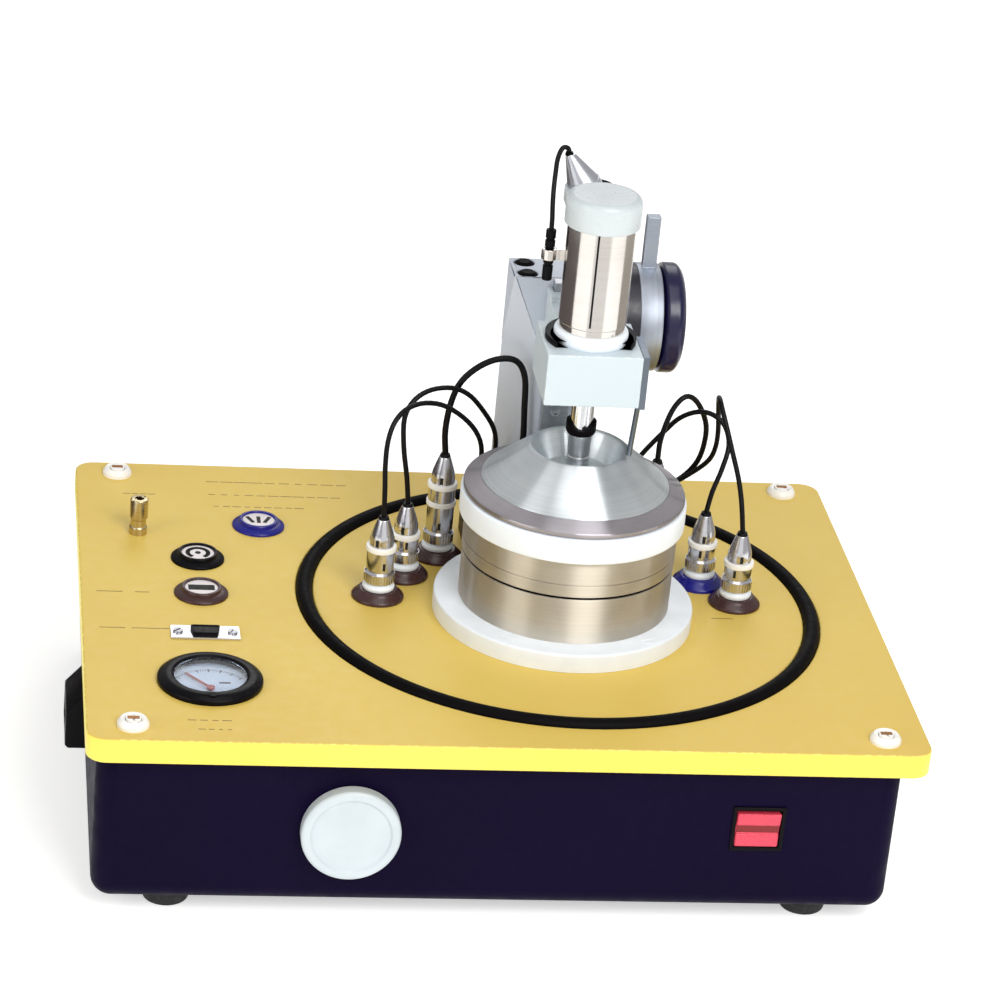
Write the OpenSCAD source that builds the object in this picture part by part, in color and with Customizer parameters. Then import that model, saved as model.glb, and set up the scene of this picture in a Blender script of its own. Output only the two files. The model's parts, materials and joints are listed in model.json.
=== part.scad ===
// Bench faceting machine. A belt-driven cup lap stands in a stack of rings on a boxed deck.
// Behind it a column carries a head that a rack and pinion raises: its motor turns the dop.
// Millimetres, +Z up. The origin is on the floor, under the middle of the machine's box.

/* [Deck] */
// Width of the deck plate, left to right
deck_w = 370; // [345:1:450]
// Depth of the deck plate, front to back
deck_d = 280; // [270:1:340]
// Thickness of the deck plate
deck_t = 11.5; // [9:0.5:16]
// Radius of the deck plate's upright corners
deck_corner_r = 9; // [4:0.5:14]
// Distance of the corner screws from the left and right edges
screw_inset_x = 20; // [17:1:26]
// Distance of the corner screws from the front and back edges
screw_inset_y = 13; // [13:0.5:18]
// Diameter of the corner washers
washer_d = 14; // [12:0.5:18]

/* [Case] */
// Height of the case under the deck
case_h = 74; // [66:1:100]
// Thickness of the case walls
case_wall = 3; // [2:0.5:5]
// Thickness of the case floor
case_floor_t = 4; // [3:0.5:6]
// Radius of the case's corners and lower edges
case_edge_r = 9; // [6:0.5:12]
// How far the case stands in from the deck's left edge
case_in_left = 5; // [2:0.5:10]
// How far the case stands in from the deck's right edge
case_in_right = 9.6; // [5:0.1:14]
// How far the case stands in from the deck's front and back edges
case_in_front = 9; // [8:0.5:11]
// Diameter of a rubber foot
foot_d = 24; // [16:1:34]
// Height of a rubber foot
foot_h = 8; // [5:0.5:14]

/* [Deck seal] */
// Middle diameter of the large seal ring let into the deck
seal_d = 236.7; // [225:0.1:240]
// Thickness of the seal ring's round section
seal_section = 7.7; // [4:0.1:9]
// Depth of the groove that holds the seal ring
seal_groove = 4.8; // [3:0.1:6]

/* [Lap stack] */
// Diameter of the white base flange
flange_d = 120; // [112:1:130]
// Height of the white base flange
flange_h = 9; // [7:0.5:12]
// Diameter of the lower bearing housing
lower_d = 97.4; // [90:0.2:106]
// Height of the lower bearing housing
lower_h = 22; // [18:0.5:26]
// Thickness of the seal between the two housings
joint_seal_t = 1.3; // [0.8:0.1:3]
// Diameter of the upper bearing housing
upper_d = 98; // [90:0.2:104]
// Height of the upper bearing housing
upper_h = 17.7; // [15:0.1:22]
// Diameter of the white splash ring
splash_d = 103.4; // [98:0.2:106]
// Height of the white splash ring
splash_h = 12; // [8:0.5:16]
// Gap between the splash ring and the turning lap
lap_gap = 0.4; // [0.3:0.1:2]
// Diameter of the dark lap rim
rim_d = 101.4; // [92:0.2:104]
// Height of the lap rim at its edge, before the bevel
rim_edge_h = 2.2; // [1:0.1:3]
// Height of the lap rim at the foot of the cup
rim_h = 5.6; // [4:0.1:8]
// Diameter of the cup's foot, where it sits in the rim
cup_foot_d = 86; // [76:0.5:90]
// Diameter of the cup's mouth
cup_mouth_d = 44; // [36:0.5:52]
// Height of the cup above the rim
cup_h = 16.8; // [12:0.2:22]
// Diameter of the grinding floor inside the cup
cup_floor_d = 30; // [24:0.5:34]
// Depth of the grinding floor below the mouth
cup_depth = 11.8; // [8:0.2:14]
// Diameter of the spindle in its bearings
spindle_d = 20; // [16:0.5:24]
// Outer diameter of the spindle bearings
bearing_d = 42; // [36:0.5:50]
// Height of one spindle bearing
bearing_h = 12; // [8:0.5:14]
// Radial running clearance of every turning fit
run_gap = 0.05; // [0.02:0.01:0.1]

/* [Drive] */
// Diameter of the spindle's belt pulley
lap_pulley_d = 56; // [44:1:62]
// Diameter of the motor's belt pulley
motor_pulley_d = 20; // [16:1:28]
// Height of both belt pulleys
pulley_h = 12; // [8:0.5:16]
// Diameter of the drive motor
motor_d = 48; // [36:1:56]
// Distance from the spindle to the drive motor, leftwards
motor_left = 86; // [70:1:100]
// Distance from the spindle to the drive motor, backwards
motor_back = 70; // [50:1:80]

/* [Column and slide] */
// Width of the column
column_w = 41; // [38:0.5:50]
// Depth of the column, front to back
column_depth = 24; // [22:0.5:32]
// Height of the column above the deck
column_h = 144; // [138:1:170]
// How far the chamfer cuts into the column's width
column_chamfer = 17; // [8:0.5:17]
// Height above the deck where the chamfer is at its widest
column_waist = 102; // [80:1:110]
// Width of the slide rail
rail_w = 12; // [8:0.5:14]
// Sliding clearance of the carriage on its rail
slide_gap = 0.1; // [0.05:0.05:0.3]
// Height of the focus knob's axis above the deck
knob_axis_z = 123; // [118:0.5:130]
// Diameter of the focus knob
knob_d = 51.6; // [40:0.2:54]
// Width of the focus knob
knob_w = 10.4; // [8:0.1:16]
// Width of the lock ring
lock_w = 10.7; // [8:0.1:14]
// Length of the lock lever beyond its ring
lever_len = 25; // [15:0.5:35]

/* [Head] */
// Width of the head block
block_w = 43; // [38:0.5:50]
// Depth of the head block
block_d = 40; // [34:0.5:44]
// Height of the head block's underside above the deck
block_z = 113; // [110:0.5:120]
// Height of the head block
block_h = 24.5; // [20:0.5:30]
// Height of the white collar under the barrel
collar_h = 6.2; // [4:0.1:10]
// Diameter of the white collar
collar_d = 33.6; // [30:0.2:34]
// Diameter of the motor barrel
barrel_d = 30.6; // [26:0.2:34]
// Height of the motor barrel
barrel_h = 49.3; // [40:0.5:60]
// Diameter of the barrel's cap
cap_d = 34; // [30:0.5:38]
// Height of the barrel's cap
cap_h = 14; // [10:0.5:20]
// Diameter of the quill and the dop
quill_d = 10.4; // [8:0.1:12]
// Diameter of the dop coupling
coupling_d = 13.8; // [12:0.1:16]
// Gap between the dop and the grinding floor
dop_gap = 0.5; // [0.3:0.1:3]

/* [Front panel] */
// Diameter of the speed knob
speed_d = 44; // [30:0.5:50]
// How far the speed knob stands out of the case
speed_proud = 7; // [4:0.5:8]
// Distance of the speed knob from the deck's left edge
speed_in = 116.4; // [80:0.1:140]
// Distance of the power rocker from the deck's right edge
rocker_in = 73; // [50:0.5:100]
// Width of the power rocker
rocker_w = 20.4; // [16:0.2:26]
// Height of the power rocker
rocker_h = 18.6; // [14:0.2:24]
// Tilt of the rocker's pads each way
rocker_tilt = 6; // [4:0.5:9]
// How far the power inlet stands out of the case
inlet_proud = 12; // [8:0.5:16]

/* [Deck panel] */
// Diameter of the meter's bezel
meter_d = 46.8; // [40:0.2:56]
// Height of the meter's bezel
meter_h = 4; // [3:0.2:6]
// Diameter of the meter's window
meter_window_d = 32.4; // [26:0.5:38]
// Diameter of the round socket bezels
socket_d = 25; // [20:0.5:28]
// Height of the round socket bezels
socket_h = 4; // [2:0.2:6]
// Diameter of the coolant spigot
spigot_d = 8.5; // [6:0.1:12]
// Height of the coolant spigot
spigot_h = 18; // [12:0.5:26]
// Diameter of a lead jack's bezel
jack_d = 24.4; // [20:0.2:24.6]
// Height of a lead jack's bezel
jack_h = 4.6; // [3:0.2:6]
// Diameter of a lead plug
plug_d = 15.2; // [12:0.2:18]

/* [Hidden] */
$fn = 64;

// The machine is drawn from the middle of the deck's top; place() then moves it to its frame.
deck_top = foot_h + case_h + deck_t;
inlet_over = max(0, inlet_proud - case_in_left);
shift_x = inlet_over / 2;
cut = 1;

// Case
case_x0 = -deck_w / 2 + case_in_left;
case_x1 = deck_w / 2 - case_in_right;
case_mid_x = (case_x0 + case_x1) / 2;
case_w = case_x1 - case_x0;
case_d = deck_d - 2 * case_in_front;
case_front = -case_d / 2;
case_top_z = -deck_t;
case_bottom_z = case_top_z - case_h;
case_floor_z = case_bottom_z + case_floor_t;
post_r = 7;
foot_in = 34;
foot_in_y = 20;
hatch_w = 90;
hatch_d = 70;
hatch_t = 2;
hatch_gap = 0.3;
hatch_lip = 6;

// Screws
deck_screw_r = 2.5;
deck_screw_len = deck_t + 14;
screw_hole_gap = 0.2;
washer_t = 1.6;
washer_cone_t = 2.4;
screw_head_r = 4.2;
m4_r = 2;
m4_head_r = 3.6;
m4_head_h = 2.4;
m4_len = 10;

// Deck seal
seal_x = deck_w / 2 - 149;
seal_y = 1;
groove_gap = 0.1;
seal_lift = 0.05;

// Lap stack
lap_x = seal_x;
lap_y = seal_y - 11;
lower_z = flange_h;
joint_z = lower_z + lower_h;
upper_z = joint_z + joint_seal_t;
splash_z = upper_z + upper_h;
rim_z = splash_z + splash_h + lap_gap;
cup_z = rim_z + rim_h - 1.5;
cup_top_z = rim_z + rim_h + cup_h;
cup_floor_z = cup_top_z - cup_depth;
hub_r = bearing_d / 2 - 3;
hub_z = splash_z + 5;
spindle_nose_r = spindle_d / 2 - 2;
spindle_well_r = spindle_d / 2 + 4;
flange_screw_pcd = flange_d - 11;
flange_screw_angles = [-125, -52, 35, 145];

// Drive
pulley_z = case_top_z - 10 - pulley_h;
motor_x = lap_x - motor_left;
motor_y = lap_y + motor_back;
belt_t = 2;
belt_gap = 0.3;
belt_h = pulley_h - 4;
pulley_lip = 1.2;

// Column: its right side, its front and the slide in front of it
column_x1 = lap_x + 13;
column_x0 = column_x1 - column_w;
column_front = 45;
column_back = column_front + column_depth;
rail_x = column_x1 - 17;
rail_t = 6;
rail_z = 66;
carriage_x0 = column_x1 - 25.5;
carriage_x1 = column_x1 - 0.8;
carriage_y0 = column_front - rail_t - 6;
carriage_y1 = column_front - 0.4;
carriage_z = block_z - 17;
rack_x0 = column_x1 - 8;
rack_w = 6;
rack_drop = 12;
slot_gap = 0.5;
plug_hole_r = 4.6;

// Rack and pinion
gear_module = 1;
pinion_teeth = 16;
pinion_r = gear_module * pinion_teeth / 2;
tooth_pitch = PI * gear_module;
tooth_half = 0.19 * tooth_pitch;
tooth_up = 0.8 * gear_module;
tooth_down = 1.1 * gear_module;
tooth_slope = tan(20);
shaft_r = 4;
knob_y = column_front + pinion_r + 1;
drum_w = 16.5;
drum_r = knob_d / 2 - 1.2;
lock_r = knob_d / 2 - 0.6;
boss_r = 14;
side_gap = 0.3;
drum_x = column_x1;
lock_x = drum_x + drum_w + side_gap;
knob_x = lock_x + lock_w + 2 * side_gap;
knob_end = knob_x + knob_w;
shaft_x0 = column_x0 + 6;

// Head
block_top = block_z + block_h;
block_front = lap_y - block_d / 2;
block_back = lap_y + block_d / 2;
barrel_z = block_top + collar_h;
cap_z = barrel_z + barrel_h;
cap_top = cap_z + cap_h;
coupling_z = block_z - 21.5;
coupling_h = 6.5;
cone_z = coupling_z + 2;
quill_z = block_z - 12;
cone_wide_r = quill_d / 2 - 0.8;
cone_tip_r = 1;
quill_top = block_top + collar_h - 1;
lobe_r = 9;
lobe_x = lap_x - 5;
lobe_y = lap_y + 26.5;
lobe_top = cap_z + 7;
gland_tip = [-13.5, 26, cap_top + 8.4];
pig_plug_len = 24;
pig_plug_r = 2.3;
pig_d = 2.2;
drip_r = 1.25;
clip_t = 3;

// Front and side panels
speed_x = -deck_w / 2 + speed_in;
speed_z = case_top_z - 35.5;
speed_gap = 0.5;
rocker_x = deck_w / 2 - rocker_in;
rocker_z = case_top_z - 31.5;
rocker_frame_w = rocker_w + 3.4;
rocker_frame_h = rocker_h + 3.4;
rocker_proud = 2.2;
rocker_gap = 0.5;
rocker_axis_y = case_front + 3;
rocker_wall = 0.6;
rocker_pin_r = 1.2;
inlet_y0 = -80;
inlet_len = 32;
inlet_z = case_top_z - 26.5;
inlet_h = 26;

// Deck panel: everything is set out from the deck's left edge
panel_x = -deck_w / 2 + 55;
meter_y = -85;
meter_can_r = 21;
meter_can_h = 28;
lens_t = 1.2;
needle_y = meter_y - 6;
needle_z = -0.6;
needle_len = 16;
needle_rest = 40;
signal_y = -40;
usb_y = 0;
black_y = 36;
blue_pos = [panel_x + 30.6, 73];
spigot_pos = [-deck_w / 2 + 28, 62];
spigot_bore_r = 2.2;
socket_body_r = 9;
socket_body_h = 20;
socket_list = [[panel_x, usb_y], [panel_x, black_y], blue_pos];
signal_w = 31;
signal_d = 12.5;
signal_shell_w = 16.8;
signal_shell_d = 8.8;
signal_shell_h = 5.5;
signal_body_w = 18;
signal_body_d = 9;
signal_wall = 0.8;

// Lead jacks and plugs, as [x, y, height of the plug] from the seal ring's centre
jack_list = [[-84.5, 1.3, 41], [-70.9, 24.5, 37], [-52.5, 46, 53],
             [70, 24.1, 37], [83.8, 3.5, 37], [48.5, 46.2, 53]];
jack_body_r = 7;
jack_body_h = 14;
plug_boot = 9;
plug_boot_r = 2.6;

// Terminal strips behind the stack, as [x, first port y] from the seal ring's centre
strip_list = [[-34, 52], [25, 55]];
strip_w = 9.6;
strip_h = 10;
port_pitch = 10;
port_count = 3;

// Routes of the leads, from the seal ring's centre at the deck's top
lead_d = [2.4, 2.4, 3, 2.4, 2.4, 2.6];
routes = [
    [[-84.5, 1.3, 41], [-85, 2, 54], [-85.6, 3, 66], [-85, 5, 77], [-82, 9, 85],
     [-76, 15, 89], [-67, 23, 88.5], [-56, 31, 83.5], [-44, 39, 72.5], [-37, 44, 61],
     [-35, 49, 48], [-36, 55, 34], [-35, 60, 20], [-34, 62, 10]],
    [[-70.9, 24.5, 37], [-72.5, 24, 50], [-75, 25, 65], [-75.5, 27, 79], [-71, 30, 87],
     [-63, 35, 90], [-53, 39, 89.5], [-45, 43, 85], [-38, 47, 77], [-30, 52, 64],
     [-27.5, 57, 51], [-29, 64, 36], [-33, 71, 22], [-34, 72, 10]],
    [[-52.5, 46, 53], [-53.5, 46, 65], [-52, 46, 79], [-48, 46, 90], [-40, 46, 98],
     [-31, 46, 102], [-23, 46, 101], [-18.5, 46, 93], [-17.5, 45, 78], [-17, 44, 60],
     [-20, 44.5, 42], [-27, 47, 29], [-33, 51, 21], [-34, 52, 10]],
    [[70, 24.1, 37], [72, 25.5, 47], [76, 29, 57], [79, 34, 67], [77, 38.5, 75],
     [71.5, 42, 79], [65, 46, 78.5], [58, 51, 73], [52, 55, 64], [42, 56.5, 50],
     [34, 56.5, 36], [27, 56, 22], [25, 55, 10]],
    [[83.8, 3.5, 37], [82.5, 4.4, 47], [81.5, 7, 54.4], [79.7, 10, 62.7], [76.6, 14, 73],
     [73.6, 18.5, 83.1], [71.7, 24, 89.7], [71.4, 30, 92], [72.2, 37, 90], [73.9, 44, 84],
     [75.7, 49, 75], [77, 51.5, 65.1], [77, 54, 56], [75.4, 57.5, 48.5],
     [70.5, 62.5, 40.5], [60, 66.5, 31], [45, 67, 24], [31, 66, 20], [25, 65, 10]],
    [[48.5, 46.2, 53], [49, 46.5, 64], [53, 47.5, 78], [59, 49.5, 84.5], [65.5, 53, 80.5],
     [71.5, 57, 69], [73, 60, 58], [71.5, 64, 45], [66, 69, 34], [57, 73, 26],
     [45, 76, 21], [33, 76.5, 20], [26.5, 75.5, 16], [25, 75, 10]]];

// Route of the head's pigtail, from the gland's tip down to its plug
pig_route = [[0, 0, 0], [-0.8, -0.4, 2.6], [-3.4, -1.2, 3], [-5.4, -2.6, -1.5],
             [-6.1, -4.5, -8], [-6.7, -7.5, -14.5], [-7.1, -11.5, -20.5], [-7.3, -15, -25],
             [-7.3, -16, -30]];
pig_end = [lap_x, lap_y, 0] + gland_tip + pig_route[len(pig_route) - 1];
pig_x = pig_end[0];
pig_y = pig_end[1];
pig_plug_top = pig_end[2];

// ---- Shapes that repeat ----

module place() {
    translate([shift_x, 0, deck_top]) children();
}

module rounded_rect(w, d, r) {
    square([w - 2 * r, d], center = true);
    square([w, d - 2 * r], center = true);
    for (x = [-1, 1], y = [-1, 1])
        translate([x * (w / 2 - r), y * (d / 2 - r)]) circle(r);
}

// A box given by its low and high corners
module box(low, high) {
    translate(low) cube(high - low);
}

// A tube of round section about Z, open through
module tube(r_out, r_in, h) {
    difference() {
        cylinder(r = r_out, h = h);
        translate([0, 0, -cut]) cylinder(r = r_in, h = h + 2 * cut);
    }
}

// A cylinder along +X that starts at x0
module rod_x(x0, x1, y, z, r) {
    translate([x0, y, z]) rotate([0, 90, 0]) cylinder(r = r, h = x1 - x0);
}

// A cylinder along +Y that starts at y0
module rod_y(x, y0, y1, z, r) {
    translate([x, y0, z]) rotate([-90, 0, 0]) cylinder(r = r, h = y1 - y0);
}

// An outline in Y and Z, extruded along X from x0 to x1
module prism_x(x0, x1, points) {
    translate([x0, 0, 0]) rotate([90, 0, 90]) linear_extrude(x1 - x0) polygon(points);
}

module at_deck_screws() {
    for (x = [-1, 1], y = [-1, 1])
        translate([x * (deck_w / 2 - screw_inset_x), y * (deck_d / 2 - screw_inset_y), 0])
            children();
}

module at_feet() {
    for (x = [case_x0 + foot_in, case_x1 - foot_in], y = [-1, 1])
        translate([x, y * (case_d / 2 - foot_in_y), case_bottom_z]) children();
}

module at_hatch_screws() {
    for (x = [-1, 1], y = [-1, 1])
        translate([lap_x + x * (hatch_w / 2 + hatch_lip / 2 - 1),
                   lap_y + y * (hatch_d / 2 + hatch_lip / 2 - 1), case_bottom_z])
            children();
}

module at_flange_screws() {
    for (a = flange_screw_angles)
        translate([lap_x, lap_y, 0]) rotate(a) translate([flange_screw_pcd / 2, 0, 0])
            children();
}

module at_column_screws() {
    for (x = [column_x0 + 9, column_x1 - 9])
        translate([x, column_back - 9, -deck_t]) children();
}

module at_jacks() {
    for (j = jack_list)
        translate([seal_x + j[0], seal_y + j[1], 0]) children();
}

// A screw that points down: its head's underside is at z = 0
module cheese_screw(r, head_r, head_h, len) {
    translate([0, 0, -len]) cylinder(r = r, h = len);
    difference() {
        cylinder(r = head_r, h = head_h);
        translate([-head_r - cut, -0.5, head_h * 0.5]) cube([2 * head_r + 2 * cut, 1, head_h]);
    }
}

// ---- A tube swept along a list of points ----

function unit(v) = v / norm(v);
function tangent(p, i) =
    unit(p[min(i + 1, len(p) - 1)] - p[max(i - 1, 0)]);
// Direction kept square to the path from ring to ring, so that the tube does not twist
function carry(side, t) = unit(side - (side * t) * t);
function sides(p, i = 0, s = [0.3, 1, 0.1]) =
    i == len(p) ? [] : concat([carry(s, tangent(p, i))],
                              sides(p, i + 1, carry(s, tangent(p, i))));
function ring_of(c, t, s, r, n) =
    [for (k = [0 : n - 1]) c + r * (cos(360 * k / n) * s + sin(360 * k / n) * cross(t, s))];

module swept_tube(p, d, n = 8) {
    s = sides(p);
    last = len(p) - 1;
    end_t = [for (i = [0 : last]) (i == 0 || i == last) ? [0, 0, sign(tangent(p, i)[2])]
                                                        : tangent(p, i)];
    rings = [for (i = [0 : last]) ring_of(p[i], end_t[i], carry(s[i], end_t[i]), d / 2, n)];
    points = [for (r = rings, q = r) q];
    walls = [for (i = [0 : last - 1], k = [0 : n - 1])
        [i * n + k, (i + 1) * n + k, (i + 1) * n + (k + 1) % n, i * n + (k + 1) % n]];
    caps = [[for (k = [0 : n - 1]) k], [for (k = [n - 1 : -1 : 0]) last * n + k]];
    polyhedron(points = points, faces = concat(walls, caps), convexity = 8);
}

// ---- Deck and case ----

module deck_plate() {
    color("#DCC06C") place() difference() {
        translate([0, 0, -deck_t]) linear_extrude(deck_t)
            rounded_rect(deck_w, deck_d, deck_corner_r);
        translate([seal_x, seal_y, -seal_groove])
            tube((seal_d + seal_section) / 2 + groove_gap,
                 (seal_d - seal_section) / 2 - groove_gap, seal_groove + cut, $fn = 128);
        translate([lap_x, lap_y, -deck_t - cut])
            cylinder(r = spindle_well_r, h = deck_t + 2 * cut);
        translate([0, 0, -deck_t - cut]) {
            at_jacks() cylinder(r = jack_body_r + screw_hole_gap, h = deck_t + 2 * cut);
            at_deck_screws()
                cylinder(r = deck_screw_r + screw_hole_gap, h = deck_t + 2 * cut);
            for (s = socket_list)
                translate([s[0], s[1], 0])
                    cylinder(r = socket_body_r + screw_hole_gap, h = deck_t + 2 * cut);
            translate([panel_x, meter_y, 0])
                cylinder(r = meter_can_r + screw_hole_gap, h = deck_t + 2 * cut);
            translate([spigot_pos[0], spigot_pos[1], 0])
                cylinder(r = spigot_d / 2 - 1, h = deck_t + 2 * cut);
            translate([panel_x, signal_y, 0]) linear_extrude(deck_t + 2 * cut)
                square([signal_body_w + 0.4, signal_body_d + 0.4], center = true);
        }
        at_column_screws() translate([0, 0, -cut])
            cylinder(r = m4_r + screw_hole_gap, h = deck_t + 2 * cut);
        at_flange_screws() translate([0, 0, -m4_len])
            cylinder(r = m4_r + screw_hole_gap, h = m4_len + cut);
    }
}

module case_outer() {
    hull() for (x = [-1, 1], y = [-1, 1])
        translate([case_mid_x + x * (case_w / 2 - case_edge_r),
                   y * (case_d / 2 - case_edge_r), case_bottom_z]) {
            translate([0, 0, case_edge_r]) sphere(r = case_edge_r, $fn = 32);
            translate([0, 0, case_h - cut]) cylinder(r = case_edge_r, h = cut, $fn = 32);
        }
}

module case_shell() {
    color("#120A28") place() difference() {
        case_outer();
        difference() {
            translate([case_mid_x, 0, case_floor_z]) linear_extrude(case_h)
                rounded_rect(case_w - 2 * case_wall, case_d - 2 * case_wall,
                             case_edge_r - case_wall);
            translate([0, 0, case_bottom_z]) at_deck_screws()
                cylinder(r = post_r, h = case_h);
        }
        at_deck_screws() translate([0, 0, -deck_screw_len - cut])
            cylinder(r = deck_screw_r + screw_hole_gap, h = deck_screw_len);
        rod_y(speed_x, case_front - cut, case_front + case_wall + cut, speed_z, 4);
        translate([rocker_x - rocker_w / 2 - 0.8, case_front - cut,
                   rocker_z - rocker_h / 2 - 0.8])
            cube([rocker_w + 1.6, case_wall + 2 * cut, rocker_h + 1.6]);
        box([case_x0 - cut, inlet_y0 + 4 - 0.2, inlet_z + 2 - 0.2],
            [case_x0 + case_wall + cut, inlet_y0 + inlet_len - 4 + 0.2,
             inlet_z + inlet_h - 4 + 0.2]);
        translate([lap_x - hatch_w / 2, lap_y - hatch_d / 2, case_bottom_z - cut])
            cube([hatch_w, hatch_d, case_floor_t + 2 * cut]);
        translate([lap_x - hatch_w / 2 - hatch_lip, lap_y - hatch_d / 2 - hatch_lip,
                   case_bottom_z - cut])
            cube([hatch_w + 2 * hatch_lip, hatch_d + 2 * hatch_lip, hatch_t + cut]);
        at_hatch_screws() cylinder(r = m4_r + screw_hole_gap, h = m4_len);
        at_feet() translate([0, 0, -cut])
            cylinder(r = m4_r + screw_hole_gap, h = case_floor_t + 2 * cut);
    }
}

module belt_hatch() {
    hatch_grow = hatch_lip - hatch_gap;
    color("#2A2833") place() difference() {
        translate([lap_x - hatch_w / 2 - hatch_grow, lap_y - hatch_d / 2 - hatch_grow,
                   case_bottom_z])
            cube([hatch_w + 2 * hatch_grow, hatch_d + 2 * hatch_grow, hatch_t]);
        at_hatch_screws() translate([0, 0, -cut])
            cylinder(r = m4_r + screw_hole_gap, h = hatch_t + 2 * cut);
    }
}

module feet() {
    color("#15131A") place() at_feet() translate([0, 0, -foot_h]) {
        difference() {
            cylinder(r1 = foot_d / 2 - 2, r2 = foot_d / 2, h = foot_h);
            translate([0, 0, -cut]) cylinder(r = m4_head_r + 1, h = foot_h / 2 + cut);
        }
        translate([0, 0, foot_h]) cylinder(r = m4_r, h = case_floor_t);
    }
}

module deck_screws() {
    color("#8A5A30") place() at_deck_screws() translate([0, 0, washer_t])
        cheese_screw(deck_screw_r, screw_head_r, washer_cone_t, deck_screw_len);
}

module deck_washers() {
    color("#FFF8EB") place() at_deck_screws() difference() {
        union() {
            cylinder(r = washer_d / 2, h = washer_t);
            translate([0, 0, washer_t])
                cylinder(r1 = washer_d / 2, r2 = screw_head_r + 0.7, h = washer_cone_t);
        }
        translate([0, 0, -cut]) cylinder(r = deck_screw_r + screw_hole_gap, h = 9);
        translate([0, 0, washer_t]) cylinder(r = screw_head_r + screw_hole_gap, h = 9);
    }
}

// The same M4 screw holds the flange, the column and the hatch
module machine_screws() {
    color("#B9BABF") place() {
        at_flange_screws() translate([0, 0, flange_h - m4_head_h])
            cheese_screw(m4_r, m4_head_r, m4_head_h, m4_len);
        at_column_screws() mirror([0, 0, 1])
            cheese_screw(m4_r, m4_head_r, m4_head_h, deck_t + m4_len);
        at_hatch_screws() mirror([0, 0, 1])
            cheese_screw(m4_r, m4_head_r, m4_head_h, case_floor_t);
    }
}

module deck_seal() {
    color("#080204") place()
        translate([seal_x, seal_y, seal_section / 2 - seal_groove + seal_lift])
            rotate_extrude($fn = 128) translate([seal_d / 2, 0]) circle(seal_section / 2, $fn = 32);
}

// ---- Lap stack ----

module at_lap(z = 0) {
    translate([lap_x, lap_y, z]) children();
}

module base_flange() {
    color("#FAFAF5") place() difference() {
        at_lap() rotate_extrude($fn = 128) polygon([
            [spindle_well_r, 0], [flange_d / 2, 0], [flange_d / 2, flange_h - 1.5],
            [flange_d / 2 - 1.5, flange_h], [spindle_well_r, flange_h]]);
        at_flange_screws() {
            translate([0, 0, -cut]) cylinder(r = m4_r + screw_hole_gap, h = 20);
            translate([0, 0, flange_h - m4_head_h])
                cylinder(r = m4_head_r + screw_hole_gap, h = 20);
        }
    }
}

module lower_housing() {
    color("#B9AFA4") place() at_lap(lower_z)
        tube(lower_d / 2, bearing_d / 2, lower_h, $fn = 128);
}

module housing_seal() {
    color("#080204") place() at_lap(joint_z)
        tube(min(lower_d, upper_d) / 2 - 0.5, bearing_d / 2 + 4, joint_seal_t, $fn = 128);
}

module upper_housing() {
    groove_z = upper_h * 0.32;
    color("#B9AFA4") place() at_lap(upper_z) rotate_extrude($fn = 128) polygon([
        [bearing_d / 2, 0], [upper_d / 2, 0],
        [upper_d / 2, groove_z], [upper_d / 2 - 0.5, groove_z + 0.3],
        [upper_d / 2, groove_z + 0.6], [upper_d / 2, upper_h], [bearing_d / 2, upper_h]]);
}

module splash_ring() {
    color("#FBFAF6") place() at_lap(splash_z) rotate_extrude($fn = 128) polygon([
        [hub_r + 1.5, 0], [splash_d / 2 - 0.5, 0], [splash_d / 2, 0.5],
        [splash_d / 2, splash_h - 1], [splash_d / 2 - 1, splash_h], [hub_r + 1.5, splash_h]]);
}

// Two bearings with the spacer sleeve between them
module spindle_bearings() {
    bore_r = spindle_d / 2 + run_gap;
    color("#C9CBD0") place() at_lap() {
        translate([0, 0, lower_z]) tube(bearing_d / 2, bore_r, bearing_h);
        translate([0, 0, lower_z + bearing_h])
            tube(bearing_d / 2 - 1, bearing_d / 2 - 4,
                 splash_z - lower_z - 2 * bearing_h);
        translate([0, 0, splash_z - bearing_h]) tube(bearing_d / 2, bore_r, bearing_h);
    }
}

// Spindle with its belt pulley turned in one piece
module lap_spindle() {
    pulley_r = lap_pulley_d / 2;
    color("#A9ACB2") place() at_lap() rotate_extrude() polygon([
        [0, pulley_z - 4], [spindle_d / 2, pulley_z - 4], [spindle_d / 2, pulley_z],
        [pulley_r + pulley_lip, pulley_z], [pulley_r + pulley_lip, pulley_z + pulley_lip],
        [pulley_r, pulley_z + pulley_lip], [pulley_r, pulley_z + pulley_h - pulley_lip],
        [pulley_r + pulley_lip, pulley_z + pulley_h - pulley_lip],
        [pulley_r + pulley_lip, pulley_z + pulley_h], [spindle_d / 2, pulley_z + pulley_h],
        [spindle_d / 2, hub_z], [spindle_nose_r, hub_z], [spindle_nose_r, cup_z], [0, cup_z]]);
}

module lap_rim() {
    color("#6F686A") place() at_lap() rotate_extrude($fn = 128) polygon([
        [spindle_nose_r, hub_z], [hub_r, hub_z], [hub_r, rim_z], [rim_d / 2 - 0.7, rim_z],
        [rim_d / 2, rim_z + 0.7], [rim_d / 2, rim_z + rim_edge_h],
        [cup_foot_d / 2 + 0.1, rim_z + rim_h], [cup_foot_d / 2 + 0.1, cup_z],
        [spindle_nose_r, cup_z]]);
}

module lap_cup() {
    mouth = cup_mouth_d / 2;
    color("#C8D2D4") place() at_lap() rotate_extrude($fn = 128) polygon([
        [0, cup_z], [cup_foot_d / 2, cup_z], [cup_foot_d / 2, rim_z + rim_h],
        [mouth + 0.8, cup_top_z - 0.3], [mouth, cup_top_z], [mouth - 1.2, cup_top_z - 0.5],
        [cup_floor_d / 2, cup_floor_z], [0, cup_floor_z]]);
}

// ---- Drive inside the case ----

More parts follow.
